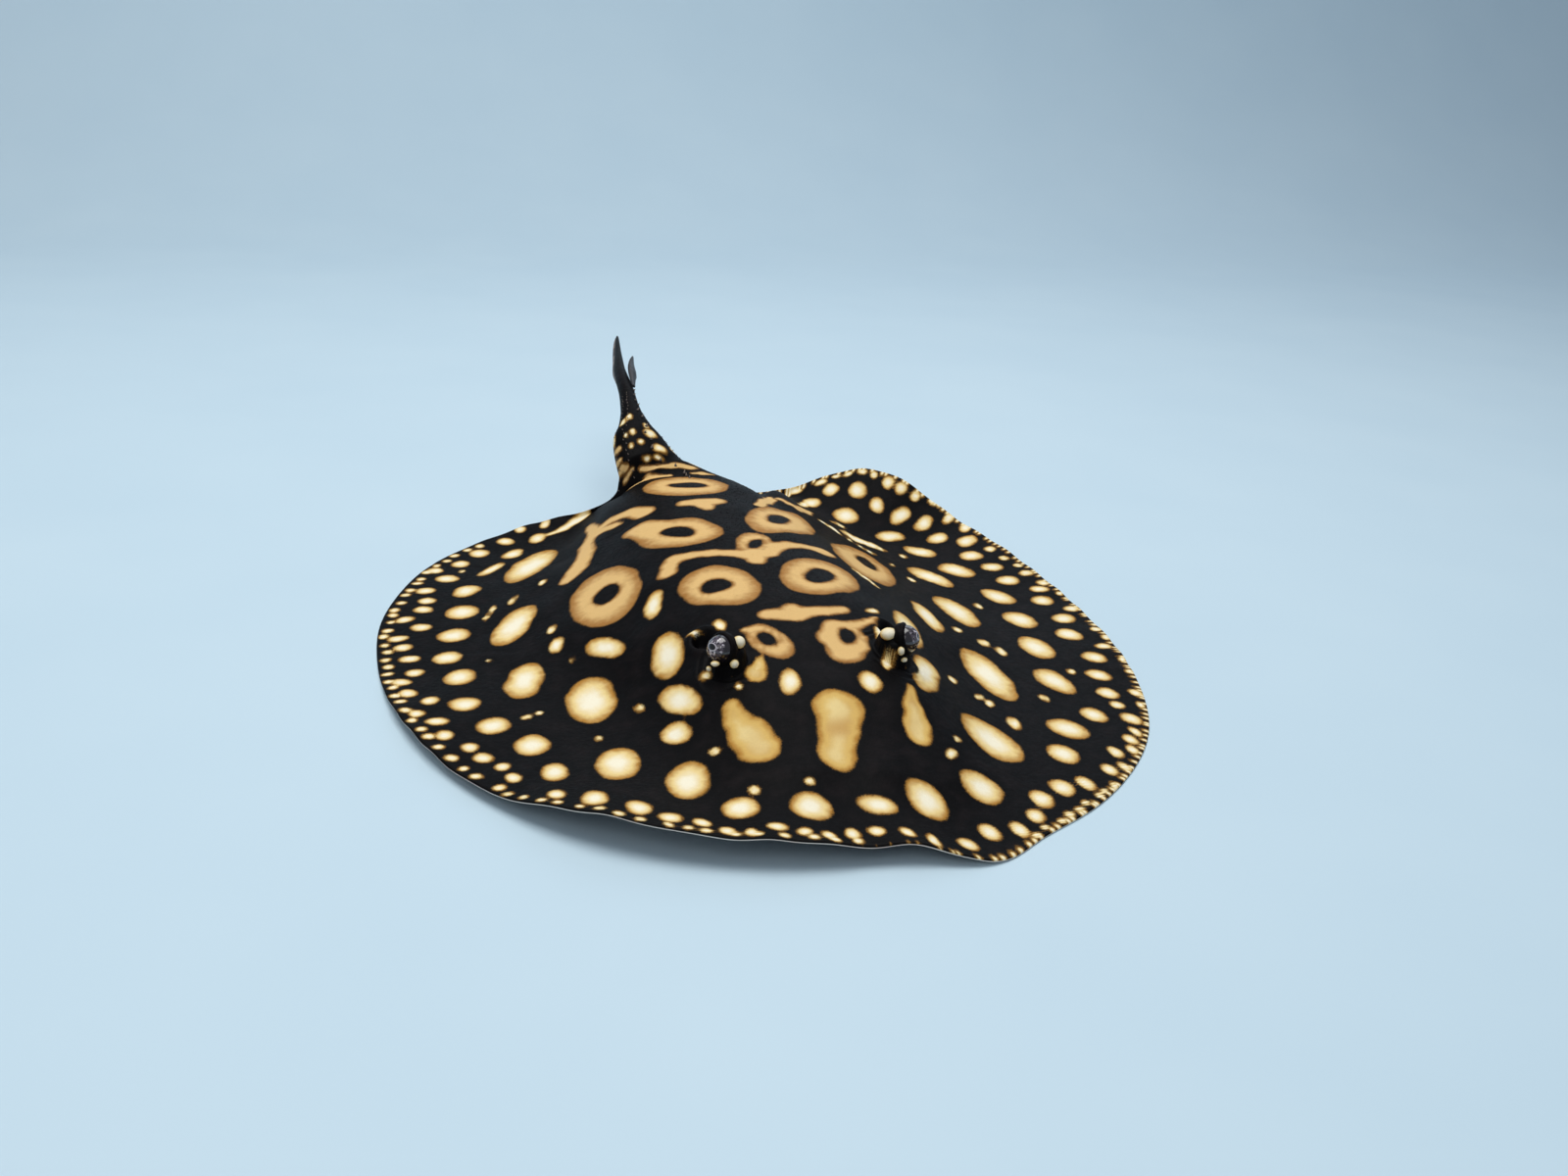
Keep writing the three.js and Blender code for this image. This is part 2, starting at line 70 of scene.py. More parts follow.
Stations = tuple[tuple[float, float], ...]
Crowds = tuple[tuple[float, float, float], ...]

LOG = logging.getLogger("stingray")
MADE_WIDTH = 452.96  # width of the model that the form below is drawn with
UNIT = (CAD_BOX[1][0] - CAD_BOX[0][0]) / MADE_WIDTH  # metres for each drawn millimetre
BODY = "root"
FAR_OUTSIDE = -20.0  # distance to a marking's edge where none is near, in millimetres


# ------------------------------------------------------------------ small helpers
def smooth(value: Array, start: float, stop: float) -> Array:
    """Returns a soft step from 0 at start to 1 at stop."""
    t = np.clip((value - start) / (stop - start), 0.0, 1.0)
    return t * t * (3.0 - 2.0 * t)


def mix(a: Array, b: Array, share: Array) -> Array:
    """Returns the point that lies the given share of the way from a to b."""
    return a + (b - a) * share


def run(stations: Stations, at: Array) -> Array:
    """Follows a smooth line through stations that never overshoots them.

    Args:
        stations: Pairs of position and value, in rising order of position.
        at: Positions to read; those beyond the ends take the end values.

    Returns:
        The value at each position.
    """
    known = np.asarray(stations, float)
    xs, ys = known[:, 0], known[:, 1]
    x = np.clip(np.asarray(at, float), xs[0], xs[-1])
    steps = np.diff(ys) / np.diff(xs)
    slopes = np.concatenate([steps[:1], np.zeros(len(xs) - 2), steps[-1:]])
    product = steps[:-1] * steps[1:]
    total = np.where(product > 0, steps[:-1] + steps[1:], 1.0)
    slopes[1:-1] = np.where(product > 0, 2.0 * product / total, 0.0)
    i = np.clip(np.searchsorted(xs, x, side="left") - 1, 0, len(xs) - 2)
    span = xs[i + 1] - xs[i]
    t = (x - xs[i]) / span
    start = (1 + 2 * t) * (1 - t) ** 2 * ys[i] + t * (1 - t) ** 2 * span * slopes[i]
    stop = t * t * (3 - 2 * t) * ys[i + 1] + t * t * (t - 1) * span * slopes[i + 1]
    return start + stop


def nearness(bearing: Array, at: float, spread: float) -> Array:
    """Returns how strongly something centred on one bearing is felt at another."""
    turn = (bearing - at + 540.0) % 360.0 - 180.0
    return np.exp(-((turn / spread) ** 2))


def crowded(count: int, start: float, stop: float, crowds: Crowds) -> Array:
    """Spaces positions more closely round some of them.

    Args:
        count: How many steps there are between start and stop.
        start: First position.
        stop: Last position.
        crowds: Triples of a place, how much denser it is there, and its spread.

    Returns:
        count + 1 rising positions.
    """
    fine = np.linspace(start, stop, 4001)
    density = np.ones_like(fine)
    for place, gain, spread in crowds:
        density += gain * np.exp(-(((fine - place) / spread) ** 2))
    summed = np.concatenate([[0.0], np.cumsum((density[1:] + density[:-1]) / 2)])
    return np.interp(np.linspace(0.0, summed[-1], count + 1), summed, fine)


def wobble(x: Array, y: Array, size: float, seed: int) -> Array:
    """Returns soft unevenness from -1 to 1 over a plane, as a sum of a few slanting waves."""
    rng = np.random.default_rng(seed)
    total = np.zeros(np.broadcast(x, y).shape)
    for angle, phase in zip(rng.uniform(0, math.tau, 6), rng.uniform(0, math.tau, 6)):
        pitch = math.tau / (size * rng.uniform(0.8, 1.5))
        total += np.sin(pitch * (x * math.cos(angle) + y * math.sin(angle)) + phase)
    return total / 3.0


# ------------------------------------------------------------------ form of the body
@dataclass(frozen=True)
class BodyForm:
    """Form of disc and tail, in millimetres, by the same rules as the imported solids."""

    half_width: float = 225.0
    front: float = 270.0
    rear: float = 216.5
    front_power: float = 2.3
    rear_power: float = 2.5
    rim: float = 1.6
    fin_depth: float = 14.0
    fin_power: float = 1.1
    wave_start: float = 0.45  # share of the radius where the margin's waves begin
    wave_power: float = 1.6
    least_wave: float = 0.25
    bulges: tuple = (
        (-115, -0.02, 14), (9, 0.045, 6), (35, -0.015, 14), (90, 0.014, 16), (130, 0.02, 14),
        (162, -0.12, 9),
    )
    waves: tuple = (
        (-162, 12, 17), (-60, 6, 16), (-28, 16, 13), (-10, 11, 9), (2, 7, 5),
        (75, 4, 16), (100, 6, 14), (118, 13, 13), (141, 44.5, 14), (156, 17, 11),
    )
    back_height: Stations = (
        (-270, 0), (-240, 8.5), (-190, 24), (-147, 38), (-110, 46), (-60, 52.5),
        (-10, 55), (50, 55), (100, 54), (150, 51), (190, 46.5), (220, 43),
    )
    back_width: Stations = (
        (-270, 60), (-190, 66), (-147, 72), (-100, 78), (-50, 86),
        (10, 90), (70, 86), (130, 76), (190, 59), (220, 50),
    )
    flanks: tuple[float, float, float] = (3.8, 2.6, 4.4)  # steepness at head, middle and rear
    neck: tuple[float, float] = (-110.0, -20.0)
    loin: tuple[float, float] = (90.0, 190.0)
    arch_fall: float = 0.9
    rear_bearings: tuple[float, float] = (140.0, 168.0)
    back_rise: tuple[float, float] = (5.0, 16.0)  # inward of the margin, at sides and rear
    rear_rise: float = 0.15  # share of the back's height that the rear margin already has
    rise_power: float = 0.8
    belly_side: tuple[float, float] = (46.0, 66.0)  # where the flat belly ends in the waves
    belly_rear: tuple[float, float] = (60.0, 130.0)
    tail_end: float = 490.0
    tail_side: Stations = (
        (160, 0), (185, -6), (208, -21.5), (232, -28), (256, -29.6), (286, -28), (330, -24.9),
        (375, -18.4), (420, -11.2), (455, -5.2), (490, 1),
    )
    tail_rise: Stations = (
        (160, 27), (185, 32), (208, 45), (232, 62), (256, 78), (286, 87), (330, 91),
        (375, 93), (420, 93), (455, 91.5), (490, 88.5),
    )
    tail_width: Stations = (
        (160, 94), (185, 73), (208, 56), (232, 41), (244, 25), (256, 16.5), (275, 12.8),
        (300, 12), (330, 10.2), (375, 6.4), (420, 4.4), (455, 3), (480, 2), (490, 0),
    )
    tail_depth: Stations = (
        (160, 52), (185, 43), (208, 32), (232, 27), (244, 20), (256, 14.5), (275, 12.4),
        (300, 11.4), (330, 9.8), (375, 6.8), (420, 4.8), (455, 3.3), (480, 2), (490, 0),
    )
    tail_twist: Stations = ((205, 0), (290, 48), (400, 55), (490, 55))
    tail_keel: Stations = ((300, 0), (345, 2.2), (430, 2.4), (480, 1), (490, 0))

    def outline_radius(self, bearing: Array) -> Array:
        """Returns the disc's radius at a bearing from the snout, before its swellings."""
        turn = np.radians(bearing)
        along = np.cos(turn)
        length = np.where(along > 0, self.front, self.rear)
        power = np.where(along > 0, self.front_power, self.rear_power)
        across = np.abs(np.sin(turn) / self.half_width)
        return (across**power + np.abs(along / length) ** power) ** (-1.0 / power)

    def margin_radius(self, bearing: Array) -> Array:
        """Returns the disc's true radius at a bearing."""
        swell = 1.0 + sum(gain * nearness(bearing, at, wide) for at, gain, wide in self.bulges)
        return self.outline_radius(bearing) * swell

    def margin_lift(self, bearing: Array) -> Array:
        """Returns how high the margin is held off the ground at a bearing."""
        return sum(height * nearness(bearing, at, wide) for at, height, wide in self.waves)

    def disc_place(self, x: Array, y: Array) -> tuple[Array, Array, Array]:
        """Finds where a point of the plan lies on the disc.

        Args:
            x: Distance to the animal's left.
            y: Distance to the rear.

        Returns:
            Its bearing in degrees, its share of the radius, and the height of the wave there.
        """
        bearing = np.degrees(np.arctan2(x, -y))
        share = np.hypot(x, y) / self.margin_radius(bearing)
        outer = np.clip((share - self.wave_start) / (1 - self.wave_start), 0, 1.1)
        reach = outer**self.wave_power
        inside = 1 - smooth(np.abs(x), *self.belly_side)
        wave = self.margin_lift(bearing) * reach * (1 - smooth(y, *self.belly_rear) * inside)
        return bearing, share, np.where(wave > self.least_wave, wave, 0.0)

    def top_height(self, x: Array, y: Array) -> Array:
        """Returns the height of the upper side of the disc."""
        bearing, share, wave = self.disc_place(x, y)
        inward = np.clip(1 - share, 0, 1)
        fin = self.rim + self.fin_depth * inward**self.fin_power
        head, middle, rear = self.flanks
        power = mix(mix(head, middle, smooth(y, *self.neck)), rear, smooth(y, *self.loin))
        arch = np.exp(-self.arch_fall * (np.abs(x) / run(self.back_width, y)) ** power)
        rearward = smooth(np.abs(bearing), *self.rear_bearings)
        rise = mix(*self.back_rise, rearward)
        fade = np.clip(inward * rise + rearward * self.rear_rise, 0, 1) ** self.rise_power
        return fin + wave + np.maximum(run(self.back_height, y) - fin, 0) * arch * fade

    def bottom_height(self, x: Array, y: Array) -> Array:
        """Returns the height of the under side of the disc."""
        return self.disc_place(x, y)[2]

    def tail_centre(self, y: Array) -> Array:
        """Returns the middle of the tail at each y, as rows of x, y and z."""
        return np.stack([run(self.tail_side, y), y, run(self.tail_rise, y)], -1)

    def tail_frame(self, y: Array) -> dict[str, Array]:
        """Returns the tail's middle, directions and half sizes at each y."""
        forward = self.tail_centre(y + 1.0) - self.tail_centre(y - 1.0)
        forward /= np.linalg.norm(forward, axis=-1, keepdims=True)
        left = np.cross(forward, [0.0, 0.0, 1.0])
        left /= np.linalg.norm(left, axis=-1, keepdims=True)
        up = np.cross(left, forward)
        lean = np.radians(run(self.tail_twist, y))[..., None]
        return {
            "centre": self.tail_centre(y),
            "forward": forward,
            "side": left * np.cos(lean) - up * np.sin(lean),
            "dorsal": up * np.cos(lean) + left * np.sin(lean),
            "half_width": run(self.tail_width, y) / 2,
            "half_depth": run(self.tail_depth, y) / 2,
            "keel": run(self.tail_keel, y),
        }

    def tail_point(self, y: Array, hand: Array, share: Array, upper: Array) -> Array:
        """Returns points of the tail's skin.

        Args:
            y: Station along the tail.
            hand: 1 on the animal's left and -1 on its right.
            share: 0 on the middle line to 1 on the side.
            upper: Whether the point is on the dorsal half.

        Returns:
            Rows of x, y and z.
        """
        at = self.tail_frame(y)
        angle = share * math.pi / 2
        keel = np.where(upper, 0.0, at["keel"] * np.exp(-((share / 0.14) ** 2)))
        height = (at["half_depth"] * np.cos(angle) + keel) * np.where(upper, 1.0, -1.0)
        across = hand * at["half_width"] * np.sin(angle)
        return at["centre"] + at["side"] * across[..., None] + at["dorsal"] * height[..., None]


FORM = BodyForm()


def margin_arc(bearing: Array) -> Array:
    """Returns the length along the margin from the snout to a bearing, as on a round disc."""
    return np.radians(bearing) * FORM.half_width


# ------------------------------------------------------------------ markings
class Tone(Enum):
    """Colour family of a marking."""

    CREAM = 0.0
    GOLD = 0.5
    TAN = 1.0


@dataclass
class Coat:
    """Markings at a set of points.

    Attributes:
        x: Plan place of each point, to the animal's left.
        y: Plan place of each point, to the rear.
        edge: Distance in millimetres to the edge of the nearest marking, positive inside it.
        core: How far into that marking the point lies, 0 at its edge and 1 at its middle.
        tone: Colour family of that marking.
    """

    x: Array
    y: Array
    edge: Array = field(init=False)
    core: Array = field(init=False)
    tone: Array = field(init=False)

    def __post_init__(self) -> None:
        """Starts with no marking near."""
        self.edge = np.full(self.x.shape, FAR_OUTSIDE)
        self.core = np.zeros(self.x.shape)
        self.tone = np.zeros(self.x.shape)

    def clear(self, under: Array) -> None:
        """Takes the markings off the points that belong to the under side."""
        self.edge = np.where(under > 0.5, np.minimum(self.edge, -4.0), self.edge)

    def values(self, inset: Array, bearing: Array) -> dict[str, Array]:
        """Returns the numbers that the skin's finish reads."""
        return {
            "edge": self.edge, "core": self.core, "tone": self.tone, "inset": inset,
            "arc": margin_arc(bearing),
        }

    def near(self, x: float, y: float, reach: float) -> Array:
        """Returns the indices of the points within a square round a place."""
        return np.flatnonzero((np.abs(self.x - x) < reach) & (np.abs(self.y - y) < reach))

    def lay(self, where: Array, edge: Array, core: Array, tone: Tone) -> None:
        """Adds one marking where it lies nearer than those laid before."""
        nearer = edge > self.edge[where]
        kept = where[nearer]
        self.edge[kept] = edge[nearer]
        self.core[kept] = np.clip(core[nearer], 0, 1)
        self.tone[kept] = tone.value


@dataclass(frozen=True)
class Spot:
    """An oval, leaning by degrees from the animal's long axis toward its left."""

    x: float
    y: float
    width: float
    height: float
    lean: float = 0.0

    def measure(self, x: Array, y: Array) -> tuple[Array, Array]:
        """Returns the distance inside the oval's edge and the relative depth."""
        turn = math.radians(self.lean)
        across = (x - self.x) * math.cos(turn) - (y - self.y) * math.sin(turn)
        along = (x - self.x) * math.sin(turn) + (y - self.y) * math.cos(turn)
        a, b = self.width / 2, self.height / 2
        level = np.sqrt((across / a) ** 2 + (along / b) ** 2) + 1e-6
        slope = np.sqrt((across / a**2) ** 2 + (along / b**2) ** 2) / level
        return (1 - level) / np.maximum(slope, 1e-3), 1 - level


@dataclass(frozen=True)
class Bar:
    """A band through points of x, y and radius."""

    points: tuple
    blend: float = 3.0

    def measure(self, x: Array, y: Array) -> tuple[Array, Array]:
        """Returns the distance inside the band's edge and the relative depth."""
        edge = np.full(x.shape, 2 * FAR_OUTSIDE)
        widest = max(radius for _, _, radius in self.points)
        for (ax, ay, ar), (bx, by, br) in zip(self.points, self.points[1:]):
            length = (bx - ax) ** 2 + (by - ay) ** 2
            t = np.clip(((x - ax) * (bx - ax) + (y - ay) * (by - ay)) / length, 0, 1)
            inside = mix(ar, br, t) - np.hypot(x - mix(ax, bx, t), y - mix(ay, by, t))
            edge = merge(edge, inside, self.blend)
        return edge, edge / widest


def merge(a: Array, b: Array, blend: float) -> Array:
    """Returns the softened greater of two distances, so that two shapes flow together."""
    nearer = np.clip(blend - np.abs(a - b), 0, None) / blend
    return np.maximum(a, b) + nearer**2 * blend / 4


@dataclass(frozen=True)
class Patch:
    """Shapes that flow together, less the holes in them."""

    shapes: tuple
    holes: tuple = ()
    blend: float = 3.0
    hole_fall: float = 8.0  # from a hole's edge to full colour

    def measure(self, x: Array, y: Array) -> tuple[Array, Array]:
        """Returns the distance inside the patch's edge and the relative depth."""
        edge, core = self.shapes[0].measure(x, y)
        for shape in self.shapes[1:]:
            more, deeper = shape.measure(x, y)
            edge = merge(edge, more, self.blend)
            core = np.maximum(core, deeper)
        for hole in self.holes:
            inside, _ = hole.measure(x, y)
            edge = np.minimum(edge, -inside)
            core = np.minimum(core, -inside / self.hole_fall)
        return edge, core


def ring(outer: tuple, hole: tuple, *more: Bar) -> Patch:
    """Returns a ring from the numbers of its outer oval and its hole, with any tips."""
    return Patch((Spot(*outer), *more), (Spot(*hole),))


@dataclass(frozen=True)
class RimRow:
    """Small spots in a row along the margin, evenly spaced but for a little play."""

    start: float  # bearings of the first and the last spot
    stop: float
    count: int
    inset: float  # from the margin to the middles of the spots
    size: float
    seed: int

    def spots(self) -> list[Spot]:
        """Returns the spots of the row."""
        rng = np.random.default_rng(self.seed)
        play = 0.2 * (self.stop - self.start) / self.count
        found = []
        for bearing in np.linspace(self.start, self.stop, self.count):
            turned = float(bearing + rng.uniform(-play, play))
            radius = float(FORM.margin_radius(turned)) - self.inset * rng.uniform(0.8, 1.2)
            angle = math.radians(turned)
            width, height = self.size * rng.uniform(0.85, 1.15, 2)
            found.append(Spot(radius * math.sin(angle), -radius * math.cos(angle), width, height))
        return found


@dataclass(frozen=True)
class Markings:
    """Markings of the disc's upper side, in millimetres and degrees.

    Ovals are given by x, y, width, height and lean, and bars by points of x, y and radius.
    """

    rings: tuple = (
        ring((-32, -42, 44, 58, -15), (-34, -42, 18, 18, -20)),
        ring((32, -34, 45, 68, 38), (32, -34, 16, 30, 38)),
        ring((-34, 53, 46, 58, -35), (-36, 54, 15, 27, -33), Bar(((-45, 68, 15), (-54, 84, 12)))),
        ring((40, 77, 42, 88, 33), (38, 78, 13, 35, 30)),
        ring((-90, 9, 42, 78, 3), (-89, 9, 16, 22, 10)),
        ring((89, 46, 44, 96, 15), (96, 58, 14, 40, 12)),
        ring((-8, 155, 60, 60, -5), (-7, 156, 28, 18, 5)),
        ring((-21, -112, 22, 35, -15), (-22, -110, 9, 15, -20), Bar(((-24, -101, 5), (-31, -98, 2)))),
    )
    bars: tuple = (
        Patch(  # the figure between the four rings of the back
            (
                Spot(5, 19, 23, 40, 18),
                Bar(((-7, -2, 8), (-13, 2, 6), (-25, 7, 5), (-38, 10, 5), (-47, 12, 6), (-51, 7, 5),
                     (-55, -5, 6))),
                Bar(((8, -2, 7), (18, 13, 6), (28, 18, 5), (40, 21, 4), (51, 18, 8))),
                Bar(((0, 0, 8), (-2, -12, 7))),
            ),
            (Spot(5, 16, 9, 20, 30),),
        ),
        Patch((Bar(((-16, -86, 5), (1, -86, 7), (18, -84, 5), (31, -82, 4))),
               Spot(1, -83, 13, 18))),
        Patch((Bar(((-106, 60, 5), (-97, 73, 7), (-88, 95, 6), (-85, 115, 5), (-77, 130, 5),
                    (-67, 132, 5), (-60, 128, 5), (-53, 125, 6), (-46, 113, 8))),
               Bar(((-77, 130, 5), (-76, 155, 3), (-76, 165, 2))),
               Bar(((-74, 125, 5), (-66, 117, 3), (-62, 114, 2))))),
        Patch((Bar(((-20, 108, 6), (-8, 106, 9), (3, 108, 7))), Spot(-8, 98, 13, 22))),
        Patch((Bar(((18, -127, 8), (13, -113, 7), (20, -102, 7), (33, -98, 4), (43, -93, 3),
                    (49, -87, 2))),
               Bar(((18, -127, 8), (27, -121, 6), (31, -112, 4), (31, -103, 3))),
               Spot(18, -127, 20, 17)),
              (Spot(24, -111, 10, 16, 20),)),
        Bar(((32, 106, 4), (43, 125, 4), (50, 140, 4), (53, 152, 2))),
        Bar(((56, 145, 2), (61, 133, 2), (68, 130, 3), (77, 140, 4), (84, 149, 2))),
        Bar(((-42, 188, 2), (-28, 190, 3), (-12, 190, 2))),
        Bar(((4, 192, 1), (12, 192, 2), (21, 191, 1))),
    )
    streaks: tuple = (
        Bar(((-102, 179, 2), (-90, 186, 3), (-80, 194, 4), (-73, 197, 4))),
        Bar(((86, 133, 2), (92, 125, 2), (101, 110, 1), (115, 92, 2))),
        Bar(((101, 125, 2), (110, 114, 4), (118, 109, 4), (126, 103, 2))),
        Bar(((67, 5, 2), (72, -5, 3), (76, -15, 2))),
        Bar(((43, -111, 2), (46, -103, 3), (50, -95, 2), (56, -91, 1))),
        Bar(((76, 150, 1), (80, 160, 2), (85, 168, 4))),
    )
    gold: tuple = (
        Patch((Spot(0, -171, 28, 26), Spot(-11, -204, 19, 24),
               Bar(((0, -172, 12), (-5, -188, 10), (-10, -202, 9))))),
        Bar(((-53, -156, 4), (-53, -167, 5), (-50, -180, 9), (-47, -192, 11)), blend=6.0),
        Bar(((47, -152, 2), (43, -168, 5), (40, -182, 7), (39, -189, 7)), blend=4.0),
        Patch((Spot(-35, -138, 12, 16), Bar(((-33, -134, 4), (-31, -127, 2))))),
    )
    face: tuple = (
        (-20, -149, 11, 23, 17), (24, -152, 12, 16, 10), (66, -127, 16, 50, 25), (76, -72, 17, 46, 12),
        (-74, -131, 14, 35, -20), (-72, -90, 17, 39, 5), (-81, -156, 13, 21, -15),
        (-43, -88, 7, 14), (-57, -88, 3, 10, -50), (39, -135, 6, 10, 20), (51, -75, 5, 14, 45),
        (-46, -145, 3, 5),
    )
    snout: tuple = (
        (-67, -233, 17, 19), (-34, -238, 20, 20), (-1, -239, 12, 20, -60), (26, -235, 19, 27, -10),
        (61, -222, 22, 25, -20), (88, -173, 27, 44, -15), (124, -187, 17, 21), (91, -230, 12, 17),
        (107, -220, 12, 17), (122, -218, 9, 15), (136, -222, 5, 11), (81, -244, 9, 14),
        (67, -255, 8, 14), (51, -256, 11, 14), (35, -267, 9, 13), (17, -267, 6, 13),
        (6, -262, 6, 10, -30), (-8, -257, 8, 8), (-20, -259, 8, 9), (-32, -261, 7, 8), (-43, -258, 8, 7),
        (-55, -253, 9, 8), (-68, -256, 6, 8), (-78, -252, 7, 9), (-88, -244, 9, 9), (-101, -238, 11, 10),
        (-114, -227, 12, 16),
    )
    right_fin: tuple = (
        (-144, 15, 21, 58, 25), (-147, -63, 21, 45, 15), (-115, -97, 27, 49, 8), (-114, -173, 22, 40, 10),
        (-85, -201, 21, 36, 15), (-100, -51, 14, 31, -30), (-121, 120, 27, 68, 28), (-172, 50, 20, 23, 30),
        (-167, 86, 17, 22, 25), (-180, 14, 19, 20, 40), (-186, -18, 16, 18, 15), (-181, -48, 18, 23, 20),
        (-181, -86, 17, 18, 20), (-169, -115, 17, 20, 35), (-152, -139, 18, 23, 15),
        (-145, -173, 14, 22), (-132, -213, 12, 19), (-148, -202, 8, 13), (-177, 114, 14, 15),
        (-166, 141, 12, 13), (-152, 159, 14, 15), (-132, 176, 12, 14), (-110, 175, 11, 17, 35),
        (-130, 152, 11, 21, 40), (-147, 125, 8, 29, 40), (-120, 193, 9, 10), (-102, 197, 7, 14, 20),
        (-69, -34, 10, 30, 15), (-124, -27, 8, 18, 10), (-124, -6, 5, 12, 15), (-140, 57, 4, 18, 18),
        (-156, 42, 3, 25, 20), (-119, 75, 5, 10, 20),
    )
    right_row: tuple = (
        (-184, 132, 10, 11), (-192, 94, 13, 12), (-192, 76, 11, 11), (-195, 61, 12, 12),
        (-207, 47, 12, 10), (-198, 32, 13, 12), (-212, 18, 12, 9), (-210, 4, 12, 10), (-207, -14, 12, 11),
        (-205, -35, 11, 10), (-213, -48, 11, 11), (-210, -65, 11, 11), (-199, -79, 11, 12),
        (-207, -95, 9, 9), (-197, -107, 11, 11), (-194, -123, 10, 10), (-183, -138, 9, 10),
        (-177, -149, 10, 10), (-169, -160, 8, 10), (-165, -174, 8, 11),
    )
    left_fin: tuple = (
        (121, -93, 24, 64), (138, -2, 23, 50, -5), (107, -27, 15, 43), (144, 59, 17, 38, -28),
        (168, 70, 18, 27, -50), (153, 102, 14, 24, -50), (137, 123, 22, 12), (111, 148, 18, 20, -30),
        (91, 170, 14, 12), (84, 191, 8, 12, -65), (104, 190, 10, 6), (109, 180, 11, 13, 45),
        (127, 171, 14, 16, 35), (137, 154, 12, 15, 20), (152, 144, 11, 23, 50), (168, 136, 10, 21, 50),
        (173, 119, 12, 19, 60), (192, 110, 13, 19, 55), (187, 89, 16, 14), (195, 70, 16, 11),
        (198, 49, 16, 14), (214, 32, 13, 11), (208, 15, 16, 13), (180, 25, 19, 26, -25),
        (179, -13, 20, 26, -10), (210, -14, 16, 14), (201, -39, 16, 18), (201, -74, 15, 16, -40),
        (170, -56, 20, 34), (160, -102, 20, 34, -8), (192, -97, 14, 16, -30), (186, -120, 12, 14),
        (185, -135, 9, 10), (184, -152, 11, 14, -20), (164, -145, 15, 18), (140, -160, 21, 25, -20),
        (111, -152, 7, 16, 10), (142, -206, 8, 13), (152, -203, 6, 11), (155, -188, 8, 13),
        (166, -186, 6, 11), (171, -175, 8, 12), (179, -167, 6, 12),
    )
    left_row: tuple = (
        (199, -136, 5, 8), (204, -122, 8, 11, -20), (213, -96, 6, 6), (218, -80, 5, 7),
        (215, -60, 12, 9), (223, -48, 6, 8), (223, -35, 8, 8), (222, -1, 12, 9), (225, 23, 6, 6),
        (221, 42, 9, 8), (215, 56, 12, 8), (215, 69, 8, 6), (209, 80, 8, 6), (204, 96, 8, 9),
        (199, 129, 9, 16, 45), (190, 141, 7, 18, 50), (187, 154, 4, 8, 50), (182, 157, 5, 9, 50),
        (170, 162, 7, 12, 45), (160, 167, 8, 13, 45), (152, 173, 9, 13, 45), (143, 182, 6, 7, 50),
        (135, 187, 8, 6), (125, 190, 7, 5), (117, 192, 7, 4),
    )
    dots: tuple = (
        (-57, -221, 6, 7), (-30, -221, 6, 5), (-67, -182, 5, 6), (-93, -119, 5, 10), (-118, -139, 4, 7),
        (-118, -49, 3, 8), (-151, -107, 5, 6), (-144, -104, 5, 5), (-163, -30, 3, 4), (53, -199, 5, 11, 35),
        (63, -184, 4, 6, 35), (90, -112, 5, 11, 30), (102, -123, 5, 8, 20), (106, -130, 5, 9, 20),
        (144, -61, 5, 13), (137, -50, 7, 11), (125, -36, 7, 8), (159, 10, 5, 10), (138, 95, 5, 8, -20),
        (122, 76, 4, 8), (127, 51, 4, 11), (177, -91, 6, 8), (143, -123, 5, 10), (-166, 126, 4, 6),
        (101, 136, 4, 13, -40),
    )
    rim_rows: tuple = (
        RimRow(-139, -44, 34, 5.0, 6.5, 1), RimRow(-42, -21, 10, 3.5, 5.0, 4),
        RimRow(-19, -4, 7, 4.0, 5.5, 2), RimRow(16, 30, 8, 4.0, 5.5, 3),
    )
    back: tuple[float, float] = (150.0, 215.0)  # the large figures lie within this x and y
    spot_reach: float = 14.0  # how far round a spot the distance to its edge is kept

    def lay_plan(self, coat: Coat) -> None:
        """Lays every marking that is placed on the plan of the disc."""
        x, y = (
            place
            + 0.6 * wobble(coat.x, coat.y, 17.0, seed)
            + 0.2 * wobble(coat.x, coat.y, 6.0, seed + 2)
            for place, seed in ((coat.x, 3), (coat.y, 4))
        )
        on_back = np.flatnonzero((np.abs(coat.x) < self.back[0]) & (coat.y < self.back[1]))
        shades = (
            (self.rings, Tone.TAN), (self.bars, Tone.TAN), (self.gold, Tone.GOLD),
            (self.streaks, Tone.CREAM),
        )
        for shapes, tone in shades:
            for shape in shapes:
                coat.lay(on_back, *shape.measure(x[on_back], y[on_back]), tone)
        groups = (
            self.face, self.snout, self.right_fin, self.right_row, self.left_fin, self.left_row,
            self.dots,
        )
        spots = [Spot(*numbers) for group in groups for numbers in group]
        spots += [spot for row in self.rim_rows for spot in row.spots()]
        for spot in spots:
            reach = max(spot.width, spot.height) / 2 + self.spot_reach
            where = coat.near(spot.x, spot.y, reach)
            coat.lay(where, *spot.measure(x[where], y[where]), Tone.CREAM)


